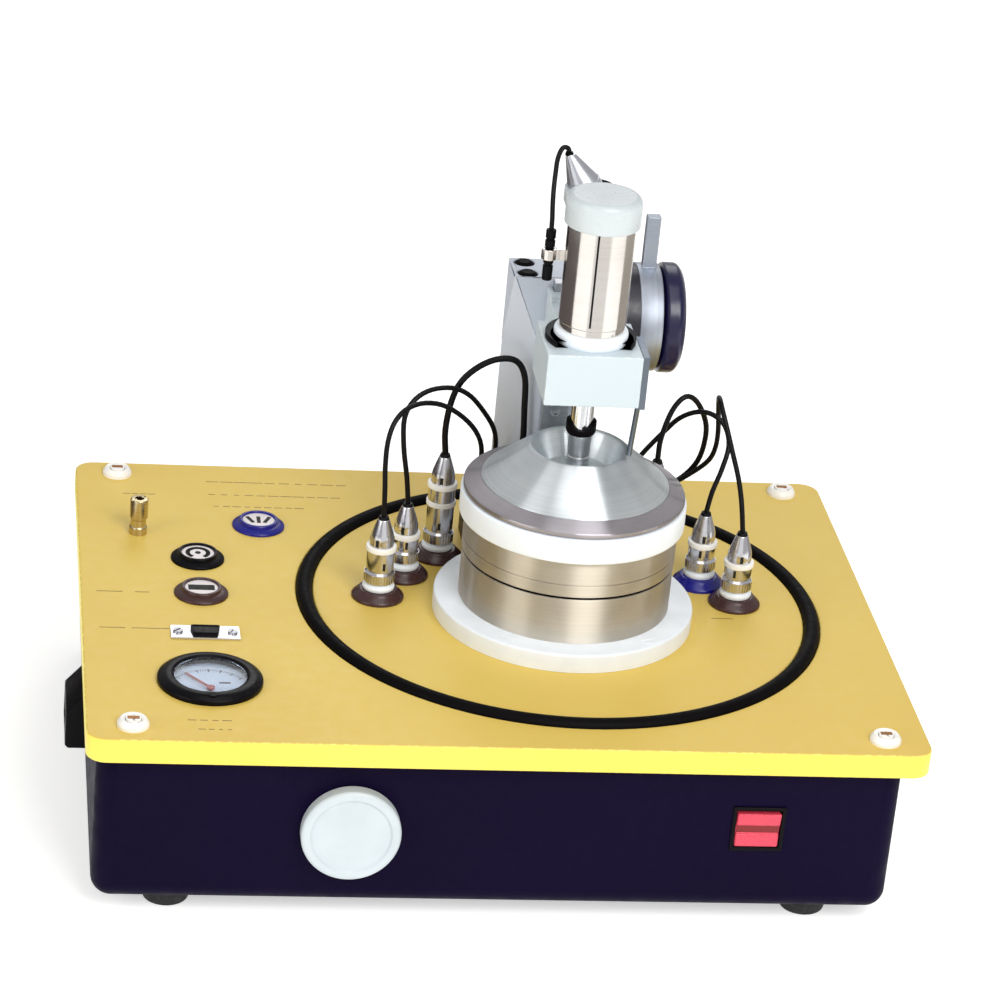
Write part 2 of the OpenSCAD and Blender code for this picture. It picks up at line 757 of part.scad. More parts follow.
module drive_motor() {
    color("#7E828A") place() translate([motor_x, motor_y, 0]) {
        translate([0, 0, case_floor_z]) cylinder(r = motor_d / 2, h = pulley_z - case_floor_z - 3);
        translate([-motor_d / 2 - 5, -8, case_floor_z]) cube([motor_d + 10, 16, 4]);
    }
}

module motor_pulley() {
    r = motor_pulley_d / 2;
    color("#3B3D44") place() translate([motor_x, motor_y, pulley_z]) rotate_extrude() polygon([
        [0, -2.6], [3, -2.6], [3, 0], [r + pulley_lip, 0], [r + pulley_lip, pulley_lip],
        [r, pulley_lip], [r, pulley_h - pulley_lip], [r + pulley_lip, pulley_h - pulley_lip],
        [r + pulley_lip, pulley_h], [0, pulley_h]]);
}

module belt_outline(grow) {
    hull() {
        translate([lap_x, lap_y]) circle(lap_pulley_d / 2 + grow);
        translate([motor_x, motor_y]) circle(motor_pulley_d / 2 + grow);
    }
}

module drive_belt() {
    color("#1C1A1C") place() translate([0, 0, pulley_z + (pulley_h - belt_h) / 2])
        linear_extrude(belt_h) difference() {
            belt_outline(belt_gap + belt_t);
            belt_outline(belt_gap);
        }
}

// Circuit board on four pillars, with its transformer, heat sink and capacitors
module control_board() {
    board_x = case_x0 + 18;
    board_y = 8;
    board_z = case_floor_z + 8;
    color("#1F6B4A") place() translate([board_x, board_y, board_z]) {
        cube([80, 106, 1.6]);
        for (x = [6, 74], y = [6, 100]) translate([x, y, -8]) cylinder(r = 3, h = 8);
        translate([22, 52, 1.6]) cube([42, 46, 30]);
        translate([12, 8, 1.6]) cube([30, 12, 18]);
        for (i = [0 : 2]) translate([54 + 8 * i - 6, 30, 1.6]) cylinder(r = 3.5, h = 14);
    }
}

// ---- Column, rail and focus drive ----

module column_body() {
    waist = [[column_x0 + column_chamfer, column_front], [column_x1, column_front],
             [column_x1, column_back], [column_x0, column_back]];
    linear_extrude(column_waist) polygon(waist);
    hull() {
        translate([0, 0, column_waist - 0.01]) linear_extrude(0.01) polygon(waist);
        translate([column_x0, column_front, column_h - 0.01])
            cube([column_w, column_depth, 0.01]);
    }
}

module column() {
    color("#A2A8B2") place() difference() {
        column_body();
        at_lap(-cut) cylinder(r = flange_d / 2 + 0.5, h = flange_h + 0.5 + cut, $fn = 128);
        // Slot for the rack and pocket for the pinion
        box([rack_x0 - slot_gap, column_front - cut, carriage_z - rack_drop - 2],
            [rack_x0 + rack_w + slot_gap, column_front + 2.4, column_h + cut]);
        rod_x(rack_x0 - slot_gap, rack_x0 + rack_w + slot_gap, knob_y, knob_axis_z,
              pinion_r + 1.6);
        rod_x(shaft_x0, column_x1 + cut, knob_y, knob_axis_z, shaft_r + run_gap);
        at_column_screws() cylinder(r = m4_r + screw_hole_gap, h = deck_t + m4_len + 2);
        at_column_plugs() translate([0, 0, -3]) cylinder(r = plug_hole_r, h = 9);
    }
}

module at_column_plugs() {
    for (y = [column_front + 5.2, column_back - 5.8])
        translate([column_x0 + 6.6, y, column_h]) children();
}

module column_plugs() {
    color("#0B0A0D") place() at_column_plugs() {
        translate([0, 0, -3]) cylinder(r = plug_hole_r, h = 3);
        cylinder(r1 = plug_hole_r + 0.6, r2 = plug_hole_r - 0.6, h = 1);
    }
}

module slide_rail() {
    color("#C4C6CB") place() difference() {
        box([rail_x - rail_w / 2, column_front - rail_t, rail_z],
            [rail_x + rail_w / 2, column_front, column_h]);
        for (z = [rail_z + 14, column_h - 14])
            rod_y(rail_x, column_front - rail_t - cut, column_front - rail_t + 2, z, 2.2);
    }
}

module knob_drum() {
    color("#121018") place() difference() {
        union() {
            rod_x(drum_x, drum_x + drum_w, knob_y, knob_axis_z, drum_r);
            rod_x(drum_x, knob_x - side_gap, knob_y, knob_axis_z, boss_r);
        }
        rod_x(drum_x - cut, knob_x, knob_y, knob_axis_z, shaft_r + run_gap);
    }
}

module pinion_shaft() {
    pinion_x0 = rack_x0;
    tip = pinion_r + tooth_up;
    root = pinion_r - tooth_down;
    tip_half = asin((tooth_half - tooth_up * tooth_slope) / tip);
    root_half = asin((tooth_half + tooth_down * tooth_slope) / root);
    outline = [for (i = [0 : pinion_teeth - 1],
                    c = [[root, -root_half], [tip, -tip_half], [tip, tip_half],
                         [root, root_half]])
        let (a = 180 + 360 * i / pinion_teeth + c[1])
            [knob_y + c[0] * cos(a), knob_axis_z + c[0] * sin(a)]];
    color("#B4B6BC") place() {
        rod_x(shaft_x0 + 1, knob_end - 2, knob_y, knob_axis_z, shaft_r);
        prism_x(pinion_x0, pinion_x0 + rack_w, outline);
    }
}

module focus_knob() {
    r = knob_d / 2;
    color("#100A28") place() translate([knob_x, knob_y, knob_axis_z]) rotate([0, 90, 0])
        rotate_extrude() polygon(concat(
            [[shaft_r, 0], [r - 0.6, 0], [r, 0.6]],
            [for (a = [0 : 15 : 90]) [r - 3 + 3 * cos(a), knob_w - 3 + 3 * sin(a)]],
            [[r - 6, knob_w - 0.8], [0, knob_w - 0.8], [0, knob_w - 2], [shaft_r, knob_w - 2]]));
}

module lock_ring() {
    lever_w = 6.4;
    lever_x = lock_x + lock_w / 2 - lever_w / 2;
    color("#D8DBDF") place() difference() {
        union() {
            rod_x(lock_x, lock_x + lock_w, knob_y, knob_axis_z, lock_r);
            box([lever_x, knob_y - 2.5, knob_axis_z],
                [lever_x + lever_w, knob_y + 2.5, knob_axis_z + lock_r + lever_len]);
        }
        rod_x(lock_x - cut, lock_x + lock_w + cut, knob_y, knob_axis_z, boss_r + run_gap);
    }
}

// ---- Head ----

module head_block() {
    color("#E4ECF0") place() difference() {
        union() {
            box([lap_x - block_w / 2, block_front, block_z],
                [lap_x + block_w / 2, block_back, block_top]);
            box([carriage_x0, block_back, block_z], [carriage_x1, carriage_y0, block_top]);
            box([carriage_x0, carriage_y0, carriage_z],
                [carriage_x1, carriage_y1, block_top + 2.5]);
        }
        at_lap(block_z - cut) cylinder(r = quill_d / 2 + run_gap, h = block_h + 2 * cut);
        box([rail_x - rail_w / 2 - slide_gap, column_front - rail_t - slide_gap,
             carriage_z - cut],
            [rail_x + rail_w / 2 + slide_gap, column_front, block_top + 10]);
        box([rack_x0, column_front - rail_t - slide_gap, carriage_z - cut],
            [rack_x0 + rack_w, column_front, block_top + 10]);
    }
}

module rack() {
    low = carriage_z - rack_drop;
    high = block_top + 2.5;
    back = column_front - rail_t - slide_gap;
    pitch_y = knob_y - pinion_r;
    root_y = pitch_y - tooth_down;
    tip_y = pitch_y + tooth_up;
    root_half = tooth_half + tooth_down * tooth_slope;
    tip_half = tooth_half - tooth_up * tooth_slope;
    first = ceil((low + 1.5 - knob_axis_z) / tooth_pitch - 0.5);
    last = floor((high - 1.5 - knob_axis_z) / tooth_pitch - 0.5);
    teeth = [for (k = [first : last],
                  c = [[root_y, -root_half], [tip_y, -tip_half], [tip_y, tip_half],
                       [root_y, root_half]])
        [c[0], knob_axis_z + (k + 0.5) * tooth_pitch + c[1]]];
    color("#B4B6BC") place() prism_x(rack_x0, rack_x0 + rack_w, concat(
        [[back, high], [back, low], [root_y, low]], teeth, [[root_y, high]]));
}

module barrel_collar() {
    color("#F4F8F8") place() at_lap(block_top) rotate_extrude() polygon([
        [quill_d / 2 + 1, 0], [collar_d / 2 - 0.8, 0], [collar_d / 2, collar_h - 1],
        [collar_d / 2 - 0.8, collar_h], [quill_d / 2 + 1, collar_h]]);
}

// Open ring round the collar, whose arms taper towards the gap at the front
module retaining_ring() {
    arm_r = collar_d / 2 + 3.7;
    color("#0C0B0E") place() at_lap(block_top) linear_extrude(3) difference() {
        circle(arm_r);
        circle(collar_d / 2 + 0.2);
        translate([0, -3.8]) circle(arm_r - 2);
        polygon([[0, 0], [-arm_r * 0.6, -arm_r], [-arm_r * 0.6, -2 * arm_r],
                 [arm_r * 0.6, -2 * arm_r], [arm_r * 0.6, -arm_r]]);
    }
}

// Stainless can of the quill motor, with the lug that holds the pigtail's plug
module motor_barrel() {
    color("#CFCAC4") place() difference() {
        union() {
            at_lap(barrel_z) cylinder(r = barrel_d / 2, h = barrel_h, $fn = 128);
            box([pig_x, pig_y - 2, pig_plug_top - 14], [lap_x - 8, pig_y + 2, pig_plug_top - 9]);
        }
        translate([pig_x, pig_y, pig_plug_top - 20]) cylinder(r = pig_plug_r, h = 20);
        at_lap(barrel_z - cut) cylinder(r = quill_d / 2 + 1, h = 8);
    }
}

module barrel_cap() {
    r = cap_d / 2;
    round_r = 3.5;
    color("#E6EEF2") place() {
        at_lap(cap_z) rotate_extrude($fn = 96) polygon(concat(
            [[0, 0], [r, 0], [r, cap_h - round_r]],
            [for (a = [15 : 15 : 90])
                [r - round_r + round_r * cos(a), cap_h - round_r + round_r * sin(a)]],
            [[0, cap_h]]));
        difference() {
            union() {
                translate([lobe_x, lobe_y, cap_z]) cylinder(r = lobe_r, h = lobe_top - cap_z);
                box([lobe_x - lobe_r, lap_y, cap_z], [lobe_x + lobe_r, lobe_y, lobe_top]);
            }
            at_lap(cap_z - cut) cylinder(r = r - 0.5, h = cap_h);
        }
    }
}

// Conical cable gland with its rubber foot, leaning from the cap's lobe up to its tip
module cable_gland() {
    foot = [lobe_x - lap_x, lobe_y - lap_y, lobe_top];
    lean = gland_tip - foot;
    color("#C9CCD2") place() at_lap() {
        difference() {
            translate(foot) rotate([0, acos(lean[2] / norm(lean)), atan2(lean[1], lean[0])]) {
                translate([0, 0, -3]) cylinder(r = lobe_r - 1, h = 5);
                translate([0, 0, 2])
                    cylinder(r1 = lobe_r - 1.4, r2 = pig_d / 2 + 0.9, h = norm(lean) - 2);
            }
            translate([foot[0], foot[1], lobe_top - 20]) cylinder(r = 3 * lobe_r, h = 20);
            translate([foot[0], foot[1], gland_tip[2]]) cylinder(r = 3 * lobe_r, h = 20);
        }
    }
}

module pigtail() {
    color("#0A0A0C") place() at_lap() translate(gland_tip) swept_tube(pig_route, pig_d);
}

module pigtail_plug() {
    color("#3A353C") place() translate([pig_x, pig_y, pig_plug_top - pig_plug_len]) {
        cylinder(r = pig_plug_r, h = pig_plug_len - 5);
        translate([0, 0, pig_plug_len - 5]) cylinder(r = pig_plug_r - 0.5, h = 1);
        translate([0, 0, pig_plug_len - 4]) cylinder(r = pig_plug_r, h = 4);
    }
}

// Clip plate on the block's right side, and the tube that drips water on the cup
module drip_tube() {
    x = lap_x + block_w / 2;
    tip = [x - 0.2, block_front + 10, cup_top_z + 0.8];
    top = [x + clip_t - 1.2, block_front + 10, block_z + 1];
    lean = tip - top;
    color("#5A5F66") place() {
        box([x, block_front + 1, block_z - 1], [x + clip_t, block_back - 15, block_top]);
        difference() {
            translate(top) rotate([0, acos(lean[2] / norm(lean)), atan2(lean[1], lean[0])])
                cylinder(r = drip_r, h = norm(lean));
            box([x - clip_t, block_front, block_z - 0.01],
                [x, block_back, block_top]);
        }
    }
}

// Quill with the white cone that centres the dop coupling
module quill() {
    color("#E8EAEC") place() at_lap() rotate_extrude() polygon([
        [0, cone_z], [cone_tip_r, cone_z], [cone_wide_r, quill_z - 1.4], [cone_wide_r, quill_z],
        [quill_d / 2, quill_z], [quill_d / 2, quill_top], [0, quill_top]]);
}

module dop_coupling() {
    slope = (cone_wide_r - cone_tip_r) / (quill_z - 1.4 - cone_z);
    mouth_r = cone_tip_r + slope * (coupling_z + coupling_h - cone_z);
    color("#0E0C10") place() at_lap() rotate_extrude() polygon([
        [0, coupling_z], [coupling_d / 2 - 0.8, coupling_z], [coupling_d / 2, coupling_z + 1],
        [coupling_d / 2, coupling_z + coupling_h], [mouth_r, coupling_z + coupling_h],
        [cone_tip_r, cone_z], [0, cone_z]]);
}

module dop() {
    tip_z = cup_floor_z + dop_gap;
    color("#D9DBDD") place() at_lap(tip_z) rotate_extrude() polygon([
        [0, 0], [quill_d / 2 - 0.6, 0], [quill_d / 2, 0.6], [quill_d / 2, coupling_z - tip_z],
        [0, coupling_z - tip_z]]);
}

// ---- Front and side panels ----

module speed_knob() {
    r = speed_d / 2;
    face = speed_proud - 1;
    color("#F4F4F2") place() translate([speed_x, case_front - speed_gap, speed_z])
        rotate([90, 0, 0]) difference() {
            rotate_extrude($fn = 96) polygon([
                [0, 0], [r, 0], [r, speed_proud - speed_gap - 1.5],
                [r - 1.5, speed_proud - speed_gap], [r * 0.8, speed_proud - speed_gap],
                [r * 0.77, face - 0.5], [0, face - 0.5]]);
            translate([0, 0, -cut]) cylinder(r = 3, h = 3.5 + cut);
        }
}

module speed_pot() {
    color("#8C8F96") place() {
        rod_y(speed_x, case_front - speed_gap - 3, case_front + case_wall, speed_z,
              3 - run_gap);
        rod_y(speed_x, case_front + case_wall, case_front + case_wall + 12, speed_z, 12);
    }
}

module rocker_frame() {
    w = rocker_w / 2;
    h = rocker_h / 2;
    color("#15121C") place() translate([rocker_x, case_front, rocker_z]) difference() {
        union() {
            box([-rocker_frame_w / 2, -1, -rocker_frame_h / 2],
                [rocker_frame_w / 2, 0, rocker_frame_h / 2]);
            box([-w - rocker_wall, 0, -h - rocker_wall], [w + rocker_wall, 22, h + rocker_wall]);
        }
        box([-w, -9, -h], [w, 9, h]);
        rod_x(-w - cut, w + cut, rocker_axis_y - case_front, 0, rocker_pin_r + run_gap);
    }
}

// Paddle on two pins, seen from the side: two pads that meet in a shallow V, tilted to "on"
module power_rocker() {
    h = rocker_h / 2 - rocker_gap;
    dip = h * tan(rocker_tilt);
    pin_x = rocker_w / 2 + rocker_wall - 0.1;
    color("#E85A6E") place()
        translate([rocker_x, rocker_axis_y, rocker_z]) rotate([rocker_tilt, 0, 0]) {
            rod_x(-pin_x, pin_x, 0, 0, rocker_pin_r);
            prism_x(-rocker_w / 2 + rocker_gap, rocker_w / 2 - rocker_gap, [
                [-rocker_proud - 1.2 - dip, -h], [-rocker_proud - 1.2, 0],
                [-rocker_proud - 1.2 - dip, h], [0, h - 1], [3.4, 3], [3.4, -3],
                [0, -h + 1]]);
        }
}

// Housing that slopes back to the case over a two-pin mains socket
module power_inlet() {
    x0 = case_x0 - inlet_proud;
    top = inlet_z + inlet_h;
    mid_y = inlet_y0 + inlet_len / 2;
    mid_z = inlet_z + 9;
    color("#0C0A10") place() {
        difference() {
            union() {
                translate([0, inlet_y0 + inlet_len, 0]) rotate([90, 0, 0])
                    linear_extrude(inlet_len) polygon([
                        [case_x0, inlet_z], [x0 + 1.4, inlet_z], [x0, inlet_z + 1.5],
                        [x0, inlet_z + 17], [x0 + 8, top], [case_x0, top]]);
                box([case_x0, inlet_y0 + 4, inlet_z + 2],
                    [case_x0 + 20, inlet_y0 + inlet_len - 4, top - 4]);
            }
            box([x0 - cut, mid_y - 10, mid_z - 4.5], [x0 + 14, mid_y + 10, mid_z + 4.5]);
        }
        for (y = [-4.3, 4.3]) rod_x(x0 + 3, x0 + 14, mid_y + y, mid_z, 1.2);
    }
}

// ---- Deck panel ----

module meter_case() {
    r = meter_d / 2;
    window = meter_window_d / 2;
    color("#0A080C") place() translate([panel_x, meter_y, 0]) {
        rotate_extrude($fn = 96) polygon([
            [window, 0], [r, 0], [r, meter_h - 1.5], [r - 3, meter_h], [window + 0.8, meter_h],
            [window, meter_h - 0.8]]);
        translate([0, 0, -meter_can_h]) tube(meter_can_r, meter_can_r - 1.5, meter_can_h);
        translate([0, 0, -3]) cylinder(r = meter_can_r - 1, h = 1.5);
        translate([0, needle_y - meter_y, -1.5]) cylinder(r = 0.8, h = 0.8);
    }
}

module meter_lens() {
    color("#C8D8F0") place() translate([panel_x, meter_y, meter_h - 0.8 - lens_t])
        cylinder(r = meter_window_d / 2, h = lens_t, $fn = 96);
}

module meter_needle() {
    color("#B02020") place() translate([panel_x, needle_y, needle_z]) rotate(needle_rest) {
        cylinder(r = 1.8, h = 0.7);
        translate([-0.35, 0, 0]) cube([0.7, needle_len, 0.7]);
    }
}

// Deck boss for the coolant hose, turned with a barb
module coolant_spigot() {
    r = spigot_d / 2;
    color("#D8C9A0") place() translate([spigot_pos[0], spigot_pos[1], 0]) difference() {
        union() {
            cylinder(r = r, h = spigot_h);
            translate([0, 0, -deck_t - 6]) cylinder(r = r - 1, h = deck_t + 6);
        }
        translate([0, 0, -deck_t - 7]) cylinder(r = spigot_bore_r, h = spigot_h + deck_t + 9);
    }
}

// Three round sockets: one slot each, cut for what plugs in
module panel_sockets() {
    color("#3A2A2C") place() {
        for (i = [0 : len(socket_list) - 1])
            translate([socket_list[i][0], socket_list[i][1], 0]) difference() {
                union() {
                    cylinder(r1 = socket_d / 2, r2 = socket_d / 2 - 1, h = socket_h);
                    translate([0, 0, -socket_body_h]) cylinder(r = socket_body_r, h = socket_body_h);
                }
                if (i == 0) {
                    translate([-6.2, -2.4, socket_h - 10]) cube([12.4, 4.8, 11]);
                } else {
                    translate([0, 0, socket_h - 8]) tube(6.5, 2.4, 9);
                }
            }
        translate([panel_x, signal_y, 0]) {
            difference() {
                union() {
                    box([-signal_w / 2, -signal_d / 2, 0], [signal_w / 2, signal_d / 2, 1]);
                    box([-signal_shell_w / 2, -signal_shell_d / 2, 0],
                        [signal_shell_w / 2, signal_shell_d / 2, signal_shell_h]);
                    box([-signal_body_w / 2, -signal_body_d / 2, -10],
                        [signal_body_w / 2, signal_body_d / 2, 0]);
                }
                box([signal_wall - signal_shell_w / 2, signal_wall - signal_shell_d / 2, 2],
                    [signal_shell_w / 2 - signal_wall, signal_shell_d / 2 - signal_wall,
                     signal_shell_h + cut]);
            }
        }
    }
}

module panel_jacks() {
    color("#4B2D2D") place() at_jacks() {
        cylinder(r1 = jack_d / 2, r2 = jack_d / 2 - 2, h = jack_h);
        translate([0, 0, -jack_body_h]) cylinder(r = jack_body_r, h = jack_body_h);
    }
}

// Plug with its sleeve, shoulder and boot; the lead leaves its top
module lead_plugs() {
    r = plug_d / 2;
    color("#C6C7CB") place() for (j = jack_list)
        translate([seal_x + j[0], seal_y + j[1], jack_h]) rotate_extrude() polygon([
            [0, 0], [r - 1, 0], [r, 1], [r, 9], [r - 1, 10], [r - 1, j[2] - jack_h - 17],
            [r - 2, j[2] - jack_h - 15], [r - 2, j[2] - jack_h - plug_boot],
            [plug_boot_r + 0.4, j[2] - jack_h - 2], [plug_boot_r, j[2] - jack_h],
            [0, j[2] - jack_h]]);
}

module lead(i) {
    color("#060506") place() translate([seal_x, seal_y, 0]) swept_tube(routes[i], lead_d[i]);
}

module terminal_strips() {
    strip_len = port_pitch * (port_count - 1) + strip_w;
    color("#0E0D12") place() for (s = strip_list)
        translate([seal_x + s[0] - strip_w / 2, seal_y + s[1] - strip_w / 2, 0])
            cube([strip_w, strip_len, strip_h]);
}

deck_plate();
case_shell();
belt_hatch();
feet();
deck_screws();
deck_washers();
machine_screws();
deck_seal();
base_flange();
lower_housing();
housing_seal();
upper_housing();
splash_ring();
spindle_bearings();
column();
column_plugs();
slide_rail();
knob_drum();
meter_case();
meter_lens();
coolant_spigot();
panel_sockets();
panel_jacks();
lead_plugs();
lead(0);  // lead_1
lead(1);  // lead_2
lead(2);  // lead_3
lead(3);  // lead_4
lead(4);  // lead_5
lead(5);  // lead_6
terminal_strips();
power_inlet();
control_board();
drive_motor();
speed_pot();
rocker_frame();
drive_belt();
lap_spindle();
lap_rim();
lap_cup();
motor_pulley();
head_block();
rack();
motor_barrel();
barrel_collar();
retaining_ring();
barrel_cap();
cable_gland();
pigtail();
pigtail_plug();
drip_tube();
quill();
dop_coupling();
dop();
pinion_shaft();
focus_knob();
lock_ring();
speed_knob();
power_rocker();
meter_needle();
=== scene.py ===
# %% [markdown]
# # A bench faceting machine
# A faceting machine grinds flat faces on a small stone. This one is a boxed deck with a stack of
# turned rings on it. The aluminium cup on top of the stack is the lap, which a belt drives from
# inside the case. A motor head hangs over it from a column, and a rack and pinion lowers its
# shaft, the dop, into the cup. The CAD frame holds every size and joint. This script gives each
# piece its finish, and builds again the pieces whose look needs more than the CAD solid has.

# %% Load the frame
import json
import math

import bmesh
import bpy
from mathutils import Matrix, Vector


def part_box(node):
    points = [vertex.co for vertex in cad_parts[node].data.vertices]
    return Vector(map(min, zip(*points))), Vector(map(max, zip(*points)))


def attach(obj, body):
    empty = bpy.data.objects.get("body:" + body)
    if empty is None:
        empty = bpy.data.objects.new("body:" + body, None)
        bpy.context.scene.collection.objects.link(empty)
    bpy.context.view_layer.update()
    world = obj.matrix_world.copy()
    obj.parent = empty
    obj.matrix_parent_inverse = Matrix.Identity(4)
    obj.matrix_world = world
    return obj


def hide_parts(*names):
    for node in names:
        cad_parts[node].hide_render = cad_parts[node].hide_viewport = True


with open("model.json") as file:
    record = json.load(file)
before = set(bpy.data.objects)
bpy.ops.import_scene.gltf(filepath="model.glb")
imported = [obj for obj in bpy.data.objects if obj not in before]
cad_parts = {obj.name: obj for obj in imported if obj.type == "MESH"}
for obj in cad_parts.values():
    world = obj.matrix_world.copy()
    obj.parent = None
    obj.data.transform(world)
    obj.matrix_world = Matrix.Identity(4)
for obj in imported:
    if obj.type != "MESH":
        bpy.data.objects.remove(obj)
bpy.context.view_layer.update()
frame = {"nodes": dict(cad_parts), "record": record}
MM = 0.001
nodes = frame["nodes"]
body_of_node = {n: b for b, ns in frame["record"]["behaviour"]["bodies"].items() for n in ns}
slot_of_node = {s["node"]: s["material_slot"] for s in frame["record"]["subparts"]}

# %% [markdown]
# ## The camera
# The view is a long lens from the front, a little to the left and well above the deck. The
# camera's turn is made of three plain turns: heading, tilt and roll. Writing it that way keeps
# each number readable, which a single matrix would not.

# %% Camera
camera_data = bpy.data.cameras.new("camera")
camera_data.lens = 138.56
camera_data.sensor_width = 36
camera = bpy.data.objects.new("camera", camera_data)
camera.location = (-0.2436, -1.5778, 0.8890)
heading = Matrix.Rotation(math.radians(-9.04), 3, "Z")
tilt = Matrix.Rotation(math.radians(90 - 24.96), 3, "X")
roll = Matrix.Rotation(math.radians(5.55), 3, "Z")
camera.rotation_euler = (heading @ tilt @ roll).to_euler()
bpy.context.scene.collection.objects.link(camera)
bpy.context.scene.camera = camera
print("camera stands", round(camera.location.length, 3), "m from the machine's foot")

# %% [markdown]
# ## Tools for a finish
# Every finish is one Principled shader with a few procedural patterns on it. The helpers below
# add one pattern each: `mottle` shifts the colour, `grain` the roughness and `relief` the
# surface. All of them read Object coordinates, so a pattern stays on its piece when it moves.
# A value that is the same all over a piece is set on the shader's own socket.

# %% Colours, nodes and a plain finish
def linear(colour):
    """An sRGB colour from 0 to 255 as the linear colour a shader works in."""
    shares = [c / 255 for c in colour]
    return [s / 12.92 if s <= 0.04045 else ((s + 0.055) / 1.055) ** 2.4 for s in shares]


def add_node(material, kind, values=None, **settings):
    """Adds a node, sets its unlinked inputs by name and its settings by keyword."""
    node = material.node_tree.nodes.new(kind)
    for setting, value in settings.items():
        setattr(node, setting, value)
    for socket, value in (values or {}).items():
        node.inputs[socket].default_value = value
    return node


def wire(material, out_socket, in_socket):
    material.node_tree.links.new(out_socket, in_socket)


def shader_of(material):
    return material.node_tree.nodes["Principled BSDF"]


def base_finish(name, colour, roughness, metallic=0.0, **sockets):
    """A new material with its plain values; mottle, grain and relief then add to it."""
    material = bpy.data.materials.new(name)
    material.use_nodes = True
    shader = shader_of(material)
    shader.inputs["Base Color"].default_value = (*linear(colour), 1)
    shader.inputs["Roughness"].default_value = roughness
    shader.inputs["Metallic"].default_value = metallic
    for socket, value in sockets.items():
        shader.inputs[socket.replace("_", " ")].default_value = value
    return material


print("plain finish helper ready")

# %% [markdown]
# ## Where a pattern sits
# A pattern needs coordinates. `place_of` gives the piece's own, moved and stretched. For turned
# parts `turned_place` gives the distance from the axis and the height along it, so that any noise
# read there becomes rings round the axis. A texture on a UV map could do it too, but it would need
# an unwrap of every piece.

# %% Coordinates for patterns
def place_of(material, scale=(1, 1, 1), centre=(0, 0, 0)):
    """Object coordinates moved to a centre and stretched; a small scale makes long streaks."""
    where = add_node(material, "ShaderNodeTexCoord")
    moved = add_node(material, "ShaderNodeVectorMath", operation="SUBTRACT")
    moved.inputs[1].default_value = centre
    stretched = add_node(material, "ShaderNodeVectorMath", operation="MULTIPLY")
    stretched.inputs[1].default_value = scale
    wire(material, where.outputs["Object"], moved.inputs[0])
    wire(material, moved.outputs[0], stretched.inputs[0])
    return stretched.outputs[0]


def turned_place(material, centre, axis="Z", scale=1.0):
    """Coordinates for marks that a lathe leaves: rings that differ along the axis and radius."""
    moved = place_of(material, centre=centre)
    parts = add_node(material, "ShaderNodeSeparateXYZ")
    wire(material, moved, parts.inputs[0])
    across = [a for a in "XYZ" if a != axis]
    flat = add_node(material, "ShaderNodeCombineXYZ")
    for name in across:
        wire(material, parts.outputs[name], flat.inputs[name])
    radius = add_node(material, "ShaderNodeVectorMath", operation="LENGTH")
    wire(material, flat.outputs[0], radius.inputs[0])
    rings = add_node(material, "ShaderNodeCombineXYZ")
    wire(material, radius.outputs["Value"], rings.inputs["X"])
    wire(material, parts.outputs[axis], rings.inputs["Y"])
    sized = add_node(material, "ShaderNodeVectorMath", operation="SCALE")
    sized.inputs["Scale"].default_value = scale
    wire(material, rings.outputs[0], sized.inputs[0])
    return sized.outputs[0]


print("pattern coordinates ready")

# %% [markdown]
# ## Colour, roughness and relief from noise
# Real surfaces are never one even tone. Each helper here lets a noise move one property between
# two limits: the colour, the roughness, the height, or the tone of edges, which is partly rubbed
# paint and partly a painted highlight, and follows a mask that `rounded` writes on the mesh below.

# %% Patterns
def noise(material, place, scale, detail=3.0):
    texture = add_node(material, "ShaderNodeTexNoise", {"Scale": scale, "Detail": detail})
    wire(material, place, texture.inputs["Vector"])
    return texture.outputs["Fac"]


def shares(material, factor, low, high, start=0.3, end=0.7):
    """Maps a pattern's middle range to values from low to high."""
    values = {"From Min": start, "From Max": end, "To Min": low, "To Max": high}
    node = add_node(material, "ShaderNodeMapRange", values, clamp=True)
    wire(material, factor, node.inputs["Value"])
    return node.outputs["Result"]


def mottle(material, factor, other, most=1.0):
    """Blends the base colour towards another where the pattern is strong."""
    shader = shader_of(material)
    mix = add_node(material, "ShaderNodeMix", data_type="RGBA")
    colour_inputs = [s for s in mix.inputs if s.type == "RGBA"]
    colour_inputs[0].default_value = shader.inputs["Base Color"].default_value
    colour_inputs[1].default_value = (*linear(other), 1)
    before = shader.inputs["Base Color"].links
    if before:
        wire(material, before[0].from_socket, colour_inputs[0])
    wire(material, shares(material, factor, 0.0, most), mix.inputs["Factor"])
    result = next(s for s in mix.outputs if s.type == "RGBA")
    wire(material, result, shader.inputs["Base Color"])


def grain(material, factor, low, high):
    """Lets the pattern move the roughness between two values."""
    wire(material, shares(material, factor, low, high), shader_of(material).inputs["Roughness"])


def relief(material, factor, depth, strength=1.0):
    """Raises the surface by the pattern; depth is in metres."""
    bump = add_node(material, "ShaderNodeBump", {"Strength": strength, "Distance": depth})
    wire(material, factor, bump.inputs["Height"])
    before = shader_of(material).inputs["Normal"].links
    if before:
        wire(material, before[0].from_socket, bump.inputs["Normal"])
    wire(material, bump.outputs["Normal"], shader_of(material).inputs["Normal"])


def worn_and_lit_edges(material, bare_and_lit_tone, most=0.6, scale=400.0):
    """Shows a lighter tone along rounded edges, broken up by noise, from the mesh's own mask:
    partly rubbed paint, partly a painted highlight.
    """
    mask = add_node(material, "ShaderNodeAttribute", attribute_name="edge_wear_and_sheen")
    speckle = shares(material, noise(material, place_of(material), scale), 0.0, 1.0, 0.45, 0.6)
    product = add_node(material, "ShaderNodeMath", operation="MULTIPLY")
    wire(material, mask.outputs["Fac"], product.inputs[0])
    wire(material, speckle, product.inputs[1])
    mottle(material, product.outputs[0], bare_and_lit_tone, most)


print("finish helpers ready")

# %% [markdown]
# ## Tools for a shape
# Three helpers make most of the solid pieces: `lathe`, `rounded` and `grow`. The small ones first:
# they make an object, smooth it, join several into one and say which CAD piece it stands for.

# %% Placing and joining helpers
def middle(node):
    low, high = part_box(node)
    return (low + high) / 2


